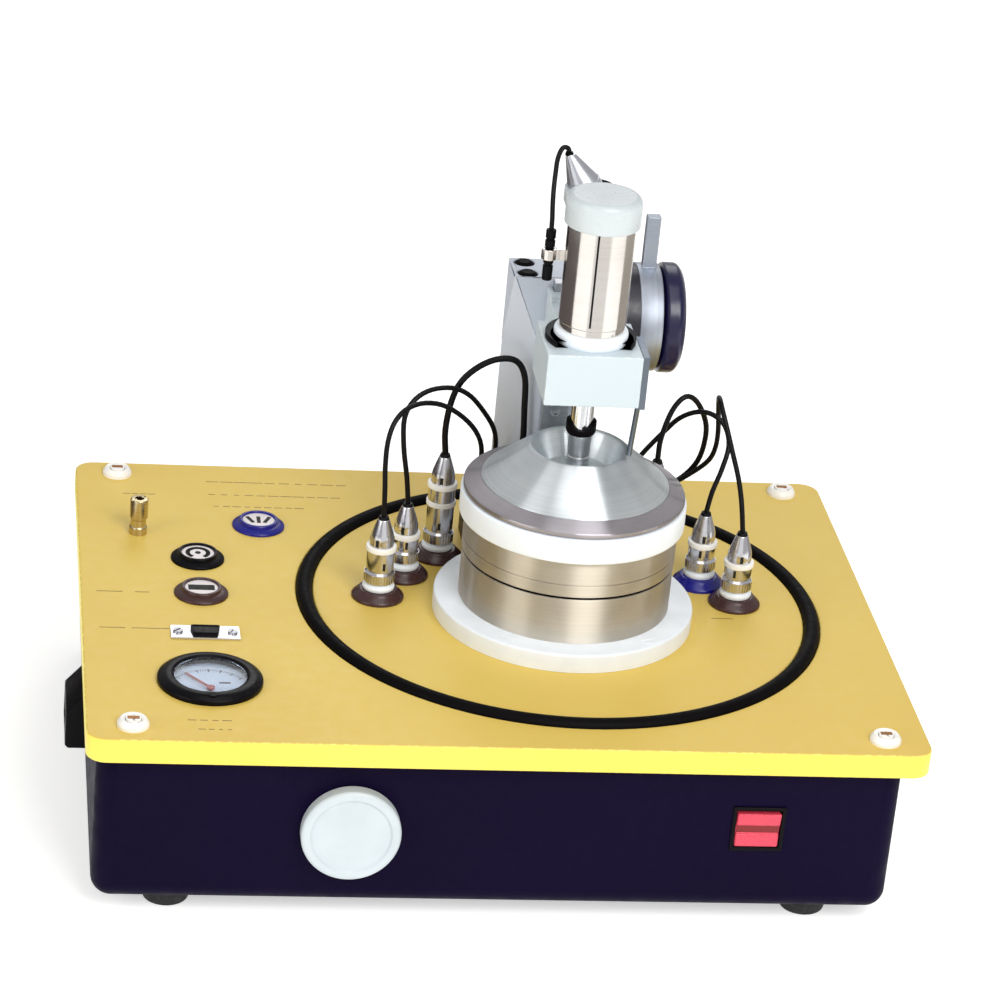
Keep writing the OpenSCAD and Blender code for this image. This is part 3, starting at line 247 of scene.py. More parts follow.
def new_object(name, mesh):
    piece = bpy.data.objects.new(name, mesh)
    bpy.context.scene.collection.objects.link(piece)
    return piece


def smooth(mesh, sharp_angle=32):
    """Smooth shading with sharp edges kept where two faces meet at more than the angle."""
    mesh.shade_smooth()
    mesh.set_sharp_from_angle(angle=math.radians(sharp_angle))


def join_as(name, pieces):
    """Several objects become one, which keeps each one's material."""
    with bpy.context.temp_override(active_object=pieces[0], object=pieces[0],
                                   selected_objects=pieces, selected_editable_objects=pieces):
        bpy.ops.object.join()
    pieces[0].name = name
    return pieces[0]


def stands_for(piece, *cad_nodes):
    """The piece replaces CAD nodes: it rides on the first one's body, and the nodes are hidden."""
    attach(piece, body_of_node[cad_nodes[0]])
    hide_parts(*cad_nodes)
    print(piece.name, "stands for", ", ".join(cad_nodes), "with",
          len(piece.data.polygons), "faces")
    return piece


print("placing and joining helpers ready")

# %% [markdown]
# ## Lathe and block
# `lathe` turns a profile round an axis, as the maker's lathe did, and can cut slots or flutes by
# moving the radius with the angle. Blender's Screw modifier could spin a profile as well, but it
# cannot change the radius with the angle. `block` is a box with its edges broken.

# %% Lathe and block
def filleted(points, steps=4):
    """Profile points (radius, height, fillet): each corner with a fillet becomes a small arc."""
    result = []
    for i, point in enumerate(points):
        here = Vector(point[:2])
        size = point[2] if len(point) > 2 else 0
        if not size:
            result.append(here)
            continue
        before = Vector(points[i - 1][:2]) - here
        after = Vector(points[(i + 1) % len(points)][:2]) - here
        size = min(size, before.length / 2, after.length / 2)
        start = here + before.normalized() * size
        end = here + after.normalized() * size
        for step in range(steps + 1):
            t = step / steps
            result.append(start * (1 - t) ** 2 + here * 2 * t * (1 - t) + end * t * t)
    return result


def lathe(name, profile, foot, material, axis="Z", segments=144, shape=None):
    """Turns a closed profile of (radius, height) round the axis through foot.

    shape(angle, radius, height) may give another radius, for slots and flutes. The profile
    runs upwards on the outside, so that the faces look outwards.
    """
    out, side, along = {"Z": ((1, 0, 0), (0, 1, 0), (0, 0, 1)),
                        "X": ((0, 1, 0), (0, 0, 1), (1, 0, 0)),
                        "Y": ((0, 0, 1), (1, 0, 0), (0, 1, 0))}[axis]
    out, side, along, foot = Vector(out), Vector(side), Vector(along), Vector(foot)
    mesh = bpy.data.meshes.new(name)
    bm = bmesh.new()
    rings = []
    for radius, height in [p[:2] for p in profile]:
        if radius < 1e-9:
            rings.append([bm.verts.new(foot + along * height)])
            continue
        ring = []
        for step in range(segments):
            angle = 2 * math.pi * step / segments
            r = shape(angle, radius, height) if shape else radius
            ring.append(bm.verts.new(foot + along * height
                                     + (out * math.cos(angle) + side * math.sin(angle)) * r))
        rings.append(ring)
    for i, low in enumerate(rings):
        high = rings[(i + 1) % len(rings)]
        if len(low) == 1 and len(high) == 1:
            continue
        for step in range(segments):
            following = (step + 1) % segments
            corners = [low[step % len(low)], low[following % len(low)],
                       high[following % len(high)], high[step % len(high)]]
            bm.faces.new(list(dict.fromkeys(corners)))
    bmesh.ops.recalc_face_normals(bm, faces=bm.faces)
    bm.to_mesh(mesh)
    bm.free()
    mesh.materials.append(material)
    smooth(mesh)
    return new_object(name, mesh)


def block(name, low, high, material, width=0.2 * MM):
    """A box between two corners with its edges broken."""
    mesh = bpy.data.meshes.new(name)
    bm = bmesh.new()
    bmesh.ops.create_cube(bm, size=1)
    size = Vector(high) - Vector(low)
    bm.transform(Matrix.Translation((Vector(low) + Vector(high)) / 2)
                 @ Matrix.Diagonal((*size, 1)))
    bmesh.ops.bevel(bm, geom=bm.edges[:], offset=width, segments=2, affect="EDGES")
    bmesh.ops.recalc_face_normals(bm, faces=bm.faces)
    bm.to_mesh(mesh)
    bm.free()
    mesh.materials.append(material)
    smooth(mesh)
    return new_object(name, mesh)


print("lathe and block ready")

# %% [markdown]
# ## Rounded copy of a CAD solid
# No machined or moulded edge is razor sharp, and a small round is what catches the light. This
# helper copies a CAD solid, breaks its sharp edges with a Bevel modifier and marks the new faces,
# so that a paint can rub through there and carry a lighter painted highlight. Large flat faces
# stay flat-shaded: long thin faces next to a bevel would otherwise show faint fans of shading.

# %% Rounded copy of a CAD solid
def rounded(node, width, materials, segments=2, sharp_angle=35):
    """A copy of the CAD solid with its sharp edges broken, and a mask on those edges for rubbed
    paint and a painted highlight.
    """
    bm = bmesh.new()
    bm.from_mesh(nodes[node].data)
    bmesh.ops.remove_doubles(bm, verts=bm.verts, dist=2e-6)
    bmesh.ops.dissolve_limit(bm, angle_limit=math.radians(0.6), verts=bm.verts, edges=bm.edges)
    mesh = bpy.data.meshes.new(node)
    bm.to_mesh(mesh)
    bm.free()
    mesh.materials.clear()
    for material in materials:
        mesh.materials.append(material)
    mesh.materials.append(materials[0])
    draft = new_object(node + "_draft", mesh)
    bevel = draft.modifiers.new("edge", "BEVEL")
    bevel.width = width
    bevel.segments = segments
    bevel.limit_method = "ANGLE"
    bevel.angle_limit = math.radians(sharp_angle)
    bevel.use_clamp_overlap = False
    bevel.material = len(materials)
    depsgraph = bpy.context.evaluated_depsgraph_get()
    result = bpy.data.meshes.new_from_object(draft.evaluated_get(depsgraph))
    bpy.data.objects.remove(draft)
    result.name = node
    edge_slot = len(materials)
    # The mask marks the bevel faces: rubbed paint and a painted highlight both follow it.
    worn = [1.0] * len(result.vertices)
    for polygon in result.polygons:
        if polygon.material_index != edge_slot:
            for v in polygon.vertices:
                worn[v] = 0.0
    edge_wear_and_sheen = result.attributes.new("edge_wear_and_sheen", "FLOAT", "POINT")
    edge_wear_and_sheen.data.foreach_set("value", worn)
    for polygon in result.polygons:
        if polygon.material_index == edge_slot:
            polygon.material_index = 0
    result.materials.pop(index=edge_slot)
    smooth(result)
    flat_area = 2e-5
    nearly_one = 0.9999
    for polygon in result.polygons:
        if polygon.area > flat_area and max(abs(c) for c in polygon.normal) > nearly_one:
            polygon.use_smooth = False
    return new_object(node + "_finished", result)


print("rounding helper ready")

# %% [markdown]
# ## Geometry Nodes from a script
# `grow` runs a Geometry Nodes tree and turns its result into a plain mesh, for what repeats or
# follows a rule. A tree is built once with named inputs and run with other values for each piece.
# Every tree ends in Realize Instances and Set Material, so that its result is a plain mesh.

# %% Geometry Nodes helpers
def new_tree(name, sockets):
    """An empty Geometry Nodes tree with named inputs, each (name, kind, default)."""
    tree = bpy.data.node_groups.new(name, "GeometryNodeTree")
    tree.interface.new_socket("Geometry", in_out="OUTPUT", socket_type="NodeSocketGeometry")
    for label, kind, default in sockets:
        socket = tree.interface.new_socket(label, in_out="INPUT", socket_type=kind)
        if default is not None:
            socket.default_value = default
    given = tree.nodes.new("NodeGroupInput")
    result = tree.nodes.new("NodeGroupOutput")
    return tree, given, result


def geo(tree, kind, links=None, values=None, **settings):
    """Adds a Geometry Nodes node, sets it up and links its inputs, named or numbered."""
    node = tree.nodes.new(kind)
    for setting, value in settings.items():
        setattr(node, setting, value)
    for socket, value in (values or {}).items():
        node.inputs[socket].default_value = value
    for socket, source in (links or {}).items():
        tree.links.new(source, node.inputs[socket])
    return node


def close_tree(tree, result, geometry, material_socket):
    """Realize Instances, then Set Material, so that the result is a plain mesh."""
    real = geo(tree, "GeometryNodeRealizeInstances", {"Geometry": geometry})
    painted = geo(tree, "GeometryNodeSetMaterial",
                  {"Geometry": real.outputs[0], "Material": material_socket})
    tree.links.new(painted.outputs[0], result.inputs[0])
    print("tree", repr(tree.name), "has", len(tree.nodes), "nodes")


def grow(name, tree, values, start=None):
    """Runs a tree on the start mesh, if any, and returns its result as an object of its own."""
    host = new_object(name + "_host", start or bpy.data.meshes.new(name + "_host"))
    modifier = host.modifiers.new("grow", "NODES")
    modifier.node_group = tree
    for item in tree.interface.items_tree:
        if item.in_out == "INPUT" and item.name in values:
            modifier[item.identifier] = values[item.name]
    depsgraph = bpy.context.evaluated_depsgraph_get()
    mesh = bpy.data.meshes.new_from_object(host.evaluated_get(depsgraph))
    bpy.data.objects.remove(host)
    mesh.name = name
    smooth(mesh)
    piece = new_object(name, mesh)
    print(name, "grown with", len(mesh.polygons), "faces")
    return piece


print("Geometry Nodes helpers ready")

# %% [markdown]
# ## The leads
# Six screened leads leave their plugs on the deck, arch over and end in two terminal strips
# behind the stack. They are thin and springy, so they stand up in free arcs instead of lying
# down. Each route is a short list of given points, and a Catmull-Rom curve through them gives
# the smooth bend of a real lead. A Blender curve with a bevel would do, but Geometry Nodes sweep
# a circle along the path into a mesh tube here.

# %% Lead routes
seal_centre = middle("deck_seal")
deck_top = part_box("deck_plate")[1].z
lead_foot = Vector((seal_centre.x, seal_centre.y, deck_top))
lead_diameters = [2.4, 2.4, 3, 2.4, 2.4, 2.6]
lead_routes = [
    [(-84.5, 1.3, 41), (-85, 2, 54), (-85.6, 3, 66), (-85, 5, 77), (-82, 9, 85), (-76, 15, 89),
     (-67, 23, 88.5), (-56, 31, 83.5), (-44, 39, 72.5), (-37, 44, 61), (-35, 49, 48),
     (-36, 55, 34), (-35, 60, 20), (-34, 62, 10)],
    [(-70.9, 24.5, 37), (-72.5, 24, 50), (-75, 25, 65), (-75.5, 27, 79), (-71, 30, 87),
     (-63, 35, 90), (-53, 39, 89.5), (-45, 43, 85), (-38, 47, 77), (-30, 52, 64),
     (-27.5, 57, 51), (-29, 64, 36), (-33, 71, 22), (-34, 72, 10)],
    [(-52.5, 46, 53), (-53.5, 46, 65), (-52, 46, 79), (-48, 46, 90), (-40, 46, 98),
     (-31, 46, 102), (-23, 46, 101), (-18.5, 46, 93), (-17.5, 45, 78), (-17, 44, 60),
     (-20, 44.5, 42), (-27, 47, 29), (-33, 51, 21), (-34, 52, 10)],
    [(70, 24.1, 37), (72, 25.5, 47), (76, 29, 57), (79, 34, 67), (77, 38.5, 75), (71.5, 42, 79),
     (65, 46, 78.5), (58, 51, 73), (52, 55, 64), (42, 56.5, 50), (34, 56.5, 36), (27, 56, 22),
     (25, 55, 10)],
    [(83.8, 3.5, 37), (82.5, 4.4, 47), (81.5, 7, 54.4), (79.7, 10, 62.7), (76.6, 14, 73),
     (73.6, 18.5, 83.1), (71.7, 24, 89.7), (71.4, 30, 92), (72.2, 37, 90), (73.9, 44, 84),
     (75.7, 49, 75), (77, 51.5, 65.1), (77, 54, 56), (75.4, 57.5, 48.5), (70.5, 62.5, 40.5),
     (60, 66.5, 31), (45, 67, 24), (31, 66, 20), (25, 65, 10)],
    [(48.5, 46.2, 53), (49, 46.5, 64), (53, 47.5, 78), (59, 49.5, 84.5), (65.5, 53, 80.5),
     (71.5, 57, 69), (73, 60, 58), (71.5, 64, 45), (66, 69, 34), (57, 73, 26), (45, 76, 21),
     (33, 76.5, 20), (26.5, 75.5, 16), (25, 75, 10)]]


def smooth_route(points, foot, steps=4):
    """Points in metres along a Catmull-Rom curve through a route given in millimetres."""
    ends = [2 * Vector(points[0]) - Vector(points[1]), 2 * Vector(points[-1]) - Vector(points[-2])]
    q = [ends[0]] + [Vector(p) for p in points] + [ends[1]]
    line = []
    for a, b, c, d in zip(q, q[1:], q[2:], q[3:]):
        for step in range(steps):
            t = step / steps
            line.append(0.5 * (2 * b + (c - a) * t + (2 * a - 5 * b + 4 * c - d) * t ** 2
                               + (3 * b - a - 3 * c + d) * t ** 3))
    line.append(q[-2])
    return [foot + p * MM for p in line]


print("routes for", len(lead_routes), "leads")

# %% [markdown]
# ## The leads' jacket
# The jacket is soft black rubber with a dull sheen. A weak specular value keeps a thin black
# cylinder from turning grey in a pale room, and a very fine relief breaks its highlight.

# %% Lead finish
lead_rubber = base_finish("lead_rubber", (6, 4, 7), 0.42, Specular_IOR_Level=0.2)
grain(lead_rubber, noise(lead_rubber, place_of(lead_rubber), 300), 0.34, 0.52)
relief(lead_rubber, noise(lead_rubber, place_of(lead_rubber), 1800), 0.03 * MM)
print("lead finish ready")

# %% [markdown]
# ## Sweeping a tube
# The tree takes a line of joined points as its Geometry input, makes a curve of it and carries a
# circle along it, with closed ends. The diameter and the number of sides are inputs, so the six
# leads and the pigtail share the tree.

# %% Tree that sweeps a tube along a line of points
tube_tree, given, result = new_tree("tube along a route", [
    ("Route", "NodeSocketGeometry", None), ("Diameter", "NodeSocketFloat", 0.0024),
    ("Sides", "NodeSocketInt", 12), ("Material", "NodeSocketMaterial", None)])
path = geo(tube_tree, "GeometryNodeMeshToCurve", {"Mesh": given.outputs["Route"]})
half = geo(tube_tree, "ShaderNodeMath", {0: given.outputs["Diameter"]}, {1: 0.5},
           operation="MULTIPLY")
section = geo(tube_tree, "GeometryNodeCurvePrimitiveCircle",
              {"Resolution": given.outputs["Sides"], "Radius": half.outputs[0]})
tube = geo(tube_tree, "GeometryNodeCurveToMesh",
           {"Curve": path.outputs[0], "Profile Curve": section.outputs[0]}, {"Fill Caps": True})
close_tree(tube_tree, result, tube.outputs[0], given.outputs["Material"])


def tube_along(name, line, diameter, material, sides=12):
    """A closed tube along the line, made by the tree; the host mesh carries the line."""
    host = bpy.data.meshes.new(name + "_line")
    host.from_pydata(line, [(i, i + 1) for i in range(len(line) - 1)], [])
    return grow(name, tube_tree, {"Diameter": diameter, "Sides": sides, "Material": material},
                host)


def line_length(line):
    return sum((b - a).length for a, b in zip(line, line[1:]))


# %% Make the six leads
lead_lines = [smooth_route(route, lead_foot) for route in lead_routes]
for i, (line, diameter) in enumerate(zip(lead_lines, lead_diameters), 1):
    lead = tube_along(f"lead_{i}_tube", line, diameter * MM, lead_rubber)
    stands_for(lead, f"lead_{i}")
    print("lead", i, "is", round(line_length(line) / MM), "mm long")

# %% [markdown]
# ## The pigtail
# The head's motor takes its power through a thin cable that leaves a cone on top of the cap,
# bends over and drops into a small plug behind the barrel. It is made as the leads are.

# %% Make the pigtail
pigtail_route = [(0, 0, 0), (-0.8, -0.4, 2.6), (-3.4, -1.2, 3), (-5.4, -2.6, -1.5),
                 (-6.1, -4.5, -8), (-6.7, -7.5, -14.5), (-7.1, -11.5, -20.5), (-7.3, -15, -25),
                 (-7.3, -16, -30)]
pigtail_diameter = 2.2 * MM
gland_low, gland_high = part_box("cable_gland")
lap_axis = middle("lap_cup")
gland_tip = Vector((lap_axis.x - 13.5 * MM, lap_axis.y + 26 * MM, gland_high.z))
pigtail_line = smooth_route(pigtail_route, gland_tip)
pigtail = tube_along("pigtail_tube", pigtail_line, pigtail_diameter, lead_rubber)
stands_for(pigtail, "pigtail")
print("pigtail is", round(line_length(pigtail_line) / MM), "mm long")

# %% [markdown]
# ## Metals
# Turned metal shows fine rings that run round its axis. `turned_place` gives a pattern that
# changes with the radius and the height only, so one noise on it draws those rings, and the
# shader's anisotropy stretches the highlights across them. Ground and plated pieces have a
# finer, weaker version. The steel rings' colour is tinted warm: a painted reflection of the yellow
# deck.

# %% Turned metal
def turned_metal(name, colour, roughness, centre, axis="Z", depth=0.012 * MM, anisotropy=0.0,
                 other=None, pitch=2600.0):
    """Metal with lathe marks round an axis, and slow stains of a second tone."""
    metal = base_finish(name, colour, roughness, 1.0, Anisotropic=anisotropy)
    rings = noise(metal, turned_place(metal, centre, axis), pitch, 2.0)
    cloud = noise(metal, place_of(metal), 35.0)
    mottle(metal, cloud, other or [c * 0.86 for c in colour], 0.7)
    mottle(metal, rings, [min(255, c * 1.08) for c in colour], 0.5)
    grain(metal, cloud, roughness * 0.8, roughness * 1.35)
    relief(metal, rings, depth)
    if anisotropy:
        shader_of(metal).inputs["Anisotropic Rotation"].default_value = 0.25
        tangent = add_node(metal, "ShaderNodeTangent", direction_type="RADIAL", axis="Z")
        wire(metal, tangent.outputs[0], shader_of(metal).inputs["Tangent"])
    return metal


print("turned metal helper ready")

# %% [markdown]
# ## The metals of this machine
# Each metal gets its own colour and roughness: satin rings, a bright stainless can, chrome on the
# shaft, nickel on the plugs and a browner bronze on the deck's screws. The rings and the cup have
# the strongest anisotropy, since their turning marks are the coarsest.

# %% Metal finishes
knob_axis = middle("focus_knob")
# The warm tint of the housing steel is a painted reflection of the yellow deck.
housing_steel = turned_metal("housing_steel", (211, 204, 191), 0.4, lap_axis, anisotropy=1.0,
                             depth=0.004 * MM, other=(206, 196, 182))
rim_metal = turned_metal("dark_rim", (178, 173, 177), 0.28, lap_axis, anisotropy=1.0,
                         other=(150, 144, 150))
cup_metal = turned_metal("cup_aluminium", (230, 235, 237), 0.34, lap_axis, anisotropy=1.0,
                         other=(208, 214, 218), pitch=1900.0)
spindle_metal = turned_metal("spindle_steel", (170, 172, 178), 0.3, lap_axis)
barrel_metal = turned_metal("barrel_steel", (219, 215, 210), 0.16, lap_axis, depth=0.002 * MM,
                            anisotropy=0.6, other=(206, 199, 192))
quill_metal = turned_metal("quill_chrome", (228, 229, 232), 0.12, lap_axis, depth=0.002 * MM,
                           anisotropy=0.6)
lock_metal = turned_metal("lock_aluminium", (166, 172, 182), 0.42, knob_axis, "X")
plain_steel = turned_metal("ground_steel", (190, 192, 197), 0.28, lap_axis)
screw_metal = turned_metal("zinc_screw", (186, 187, 192), 0.3, lap_axis)
bronze_metal = turned_metal("bronzed_screw", (142, 96, 54), 0.32, lap_axis)
nickel = turned_metal("nickel_plate", (212, 211, 216), 0.16, lap_axis, depth=0.002 * MM)
gland_metal = turned_metal("gland_aluminium", (206, 208, 214), 0.26, lap_axis)
spigot_metal = turned_metal("spigot_brass", (206, 190, 152), 0.22, middle("coolant_spigot"))
drip_metal = turned_metal("drip_steel", (120, 128, 138), 0.3, lap_axis)
motor_metal = turned_metal("motor_can", (132, 136, 144), 0.35, middle("drive_motor"))
print("metals:", len([m for m in bpy.data.materials if m.use_nodes]))

# %% [markdown]
# ## Paint
# The deck is a thick plate with a satin yellow coat, the case below it a blue-black one. Sprayed
# paint has an orange-peel relief under a millimetre wide, drifts a little in tone over a hand's
# width, and wears through along edges, where a lighter tone also paints a highlight. The column
# and head carry the same kind of coat in grey.

# %% Paint finishes
def paint(name, colour, other, roughness, bare_and_lit_tone, peel=0.05 * MM, drift=7.0, edge_wear_and_sheen=0.5,
          specular=0.35):
    """Sprayed paint: slow drift of tone, fine orange peel and edges rubbed to a lighter tone,
    partly a painted highlight.
    """
    coat = base_finish(name, colour, roughness, Specular_IOR_Level=specular)
    where = place_of(coat)
    mottle(coat, noise(coat, where, drift), other, 0.85)
    grain(coat, noise(coat, where, 160.0), roughness * 0.85, roughness * 1.2)
    relief(coat, noise(coat, where, 850.0, 2.0), peel)
    worn_and_lit_edges(coat, bare_and_lit_tone, edge_wear_and_sheen)
    return coat


print("paint helper ready")

# %% Paint of the deck, case, column and head
# The last colour of each paint is its edge tone: partly rubbed paint, partly a painted highlight.
deck_paint = paint("deck_paint", (228, 198, 98), (220, 186, 84), 0.42, (255, 243, 130))
case_paint = paint("case_paint", (10, 2, 32), (15, 6, 40), 0.5, (46, 38, 76), specular=0.06)
# The deck's side faces get a brighter yellow: a painted highlight where the edge catches the light.
lit_edge_paint = paint("deck_side_highlight_paint", (252, 232, 98), (246, 222, 88), 0.4, (255, 246, 150))
column_paint = paint("column_paint", (208, 215, 228), (196, 203, 216), 0.4, (226, 229, 234))
head_paint = paint("head_paint", (204, 216, 221), (196, 208, 214), 0.36, (238, 242, 243))
print("paints ready")

# %% [markdown]
# ## Plastics and rubber
# Moulded plastic has a very fine even grain and no wear colour. The black parts have a weak
# specular value, since a matt black that mirrors a pale studio would turn grey. The red switch
# gets a faint painted glow, a little light of its own that lifts its red.

# %% Plastic and rubber finishes
def moulded(name, colour, roughness, texture=0.02 * MM, **sockets):
    """Plastic or rubber from a mould: a fine grain in relief and roughness."""
    plastic = base_finish(name, colour, roughness, **sockets)
    where = place_of(plastic)
    mottle(plastic, noise(plastic, where, 60.0), [c * 0.93 + 3 for c in colour], 0.8)
    grain(plastic, noise(plastic, where, 420.0), roughness * 0.85, roughness * 1.2)
    relief(plastic, noise(plastic, where, 2400.0, 2.0), texture)
    return plastic


print("moulded helper ready")

# %% Plastics, rubbers and inks of this machine
white_polymer = moulded("white_polymer", (243, 249, 255), 0.45)
ivory_plastic = moulded("ivory_plastic", (255, 253, 247), 0.36)
cap_plastic = moulded("cap_plastic", (203, 211, 213), 0.3, 0.0004 * MM)
knob_white = moulded("white_knob", (204, 213, 217), 0.36, 0.01 * MM)
knob_black = moulded("black_knob", (20, 16, 58), 0.22, Specular_IOR_Level=0.45)
drum_black = moulded("black_drum", (22, 18, 32), 0.34)
seal_rubber = moulded("seal_rubber", (6, 4, 6), 0.5, Specular_IOR_Level=0.06)
foot_rubber = moulded("foot_rubber", (16, 14, 19), 0.7, 0.06 * MM)
black_plastic = moulded("black_plastic", (8, 7, 11), 0.4, Specular_IOR_Level=0.1)
bezel_black = moulded("black_bezel", (6, 4, 9), 0.28, Specular_IOR_Level=0.12)
blue_plastic = moulded("blue_plastic", (12, 14, 128), 0.24)
brown_plastic = moulded("brown_plastic", (62, 34, 34), 0.26)
face_plastic = moulded("socket_face", (238, 230, 230), 0.4)
# Dark marks for slots and holes: painted shade where the inside of an opening would be dark.
painted_hole_shade = moulded("painted_hole_shade", (6, 5, 7), 0.6)
# A painted glow: the rocker gives off a little light that lifts its red.
rocker_red = moulded("red_rocker_painted_glow", (212, 62, 86), 0.28, Emission_Strength=0.12)
shader_of(rocker_red).inputs["Emission Color"].default_value = (0.8, 0.05, 0.08, 1)
rocker_dark = moulded("dark_red_band", (130, 4, 14), 0.3)
board_green = moulded("board_green", (32, 108, 75), 0.4)
needle_red = moulded("red_needle", (176, 32, 32), 0.4)
dial_white = moulded("dial_white", (222, 234, 250), 0.5)
ink = moulded("printed_ink", (120, 96, 44), 0.5)
dial_ink = moulded("dial_ink", (60, 66, 84), 0.5)
belt_rubber = moulded("belt_rubber", (28, 26, 28), 0.7, 0.06 * MM)
lens_glass = base_finish("lens_glass", (246, 250, 255), 0.03, Transmission_Weight=1.0, IOR=1.2)
grain(lens_glass, noise(lens_glass, place_of(lens_glass), 90.0), 0.02, 0.06)
print("finishes so far:", len([m for m in bpy.data.materials if m.use_nodes]))

# %% [markdown]
# ## A finish for every CAD piece
# The frame gives each CAD piece a material slot by name. Pieces that stay as they are, such as
# the bearings, the motor and the rack inside, get their finish here. It is set on all of them, so
# a piece that is replaced later still has the right one until then.

# %% Finish of every CAD node
slot_finish = {
    "deck_paint": deck_paint, "case_paint": case_paint, "foot_rubber": foot_rubber,
    "bronze_screw": bronze_metal, "ivory_plastic": ivory_plastic, "screw_steel": screw_metal,
    "seal_rubber": seal_rubber, "white_polymer": white_polymer, "housing_steel": housing_steel,
    "bearing_steel": plain_steel, "column_paint": column_paint, "black_rubber": foot_rubber,
    "rail_steel": plain_steel, "drum_black": drum_black, "meter_black": bezel_black,
    "lens_glass": lens_glass, "spigot_metal": spigot_metal, "socket_plastic": brown_plastic,
    "jack_brown": brown_plastic, "plug_nickel": nickel, "lead_black": lead_rubber,
    "black_plastic": black_plastic, "board_green": board_green, "motor_steel": motor_metal,
    "belt_rubber": belt_rubber, "spindle_steel": spindle_metal, "rim_dark": rim_metal,
    "cup_aluminium": cup_metal, "head_paint": head_paint, "barrel_steel": barrel_metal,
    "cap_white": cap_plastic, "gland_metal": gland_metal, "drip_steel": drip_metal,
    "quill_chrome": quill_metal, "knob_black": knob_black, "lock_aluminium": lock_metal,
    "speed_white": knob_white, "rocker_red": rocker_red, "needle_red": needle_red}
for name, node in nodes.items():
    node.data.materials.clear()
    node.data.materials.append(slot_finish[slot_of_node[name]])
print("finishes on", len(nodes), "CAD nodes")

# %% [markdown]
# ## Deck and case
# The deck is one thick plate with a groove for the seal and holes for what stands on it. The
# CAD solid already has every hole in its right place, so the finished piece is a copy of it
# with its edges broken. The same holds for the case, its hatch and the column.

# %% Deck, case, hatch, column and inlet
deck = rounded("deck_plate", 0.7 * MM, [deck_paint, lit_edge_paint], 3)
deck_low, deck_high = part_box("deck_plate")
# Side faces near the outline take the brighter yellow, a painted highlight along the deck's edge.
highlight_band_depth = 3 * MM
for face in deck.data.polygons:
    inset = min(face.center.x - deck_low.x, deck_high.x - face.center.x,
                face.center.y - deck_low.y, deck_high.y - face.center.y)
    if abs(face.normal.z) < 0.6 and inset < highlight_band_depth:
        face.material_index = 1
stands_for(deck, "deck_plate")
stands_for(rounded("case_shell", 0.5 * MM, [case_paint]), "case_shell")
stands_for(rounded("belt_hatch", 0.3 * MM, [case_paint]), "belt_hatch")
stands_for(rounded("column", 0.7 * MM, [column_paint], 3), "column")
stands_for(rounded("power_inlet", 0.5 * MM, [black_plastic]), "power_inlet")
stands_for(rounded("slide_rail", 0.25 * MM, [plain_steel]), "slide_rail")

# %% [markdown]
# ## Printed lines
# Thin printed rules mark off groups of sockets on the deck. Each is a row of flat dashes a few
# hundredths of a millimetre proud of the paint. One tree lays a row: a line of points, a thin
# box on each, and a fixed seed that varies the dashes' lengths.

# %% Tree for a row of printed dashes
dash_tree, given, result = new_tree("row of printed dashes", [
    ("Start", "NodeSocketVector", None), ("Count", "NodeSocketInt", 8),
    ("Pitch", "NodeSocketFloat", 0.006), ("Width", "NodeSocketFloat", 0.0006),
    ("Seed", "NodeSocketInt", 1), ("Material", "NodeSocketMaterial", None)])
step = geo(dash_tree, "ShaderNodeCombineXYZ", {"X": given.outputs["Pitch"]})
row = geo(dash_tree, "GeometryNodeMeshLine",
          {"Count": given.outputs["Count"], "Start Location": given.outputs["Start"],
           "Offset": step.outputs[0]})
size = geo(dash_tree, "ShaderNodeCombineXYZ",
           {"X": given.outputs["Pitch"], "Y": given.outputs["Width"]}, {"Z": 0.04 * MM})
bar = geo(dash_tree, "GeometryNodeMeshCube", {"Size": size.outputs[0]})
length = geo(dash_tree, "FunctionNodeRandomValue", {"Seed": given.outputs["Seed"]},
             {2: 0.35, 3: 0.98}, data_type="FLOAT")
stretch = geo(dash_tree, "ShaderNodeCombineXYZ", {"X": length.outputs[1]}, {"Y": 1.0, "Z": 1.0})
dashes = geo(dash_tree, "GeometryNodeInstanceOnPoints",
             {"Points": row.outputs[0], "Instance": bar.outputs[0], "Scale": stretch.outputs[0]})
close_tree(dash_tree, result, dashes.outputs[0], given.outputs["Material"])

# %% Print the rules
deck_middle = middle("deck_plate")
rule_width = 0.55 * MM
rule_lift = 0.02 * MM
printed_rules = [(-122.5, 121, 69, 7), (-123, 106.5, 68, 6), (-121, 93.5, 44, 5),
                 (-163, 105, 15, 4), (-179.5, 0, 30, 15), (-180, -36, 34, 17),
                 (-142, -121, 21, 5), (-137.5, -129, 15, 4), (101, -12, 21, 21)]
rules = []
for i, (x, y, length_mm, pitch) in enumerate(printed_rules):
    start = Vector((deck_middle.x + (x + pitch / 2) * MM, y * MM, deck_top + rule_lift))
    rules.append(grow(f"rule_{i}", dash_tree, {
        "Start": start, "Count": max(1, round(length_mm / pitch)), "Pitch": pitch * MM,
        "Width": rule_width, "Seed": i, "Material": ink}))
printed = join_as("printed_rules", rules)
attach(printed, "root")

# %% [markdown]
# ## Seal rings
# The large ring in the deck is a rubber cord of round section, moulded as a hoop. It follows a
# rule, a circle carried round a circle, so it is a main piece that Geometry Nodes can make. The
# thin ring between the two housings is flat and is turned instead.

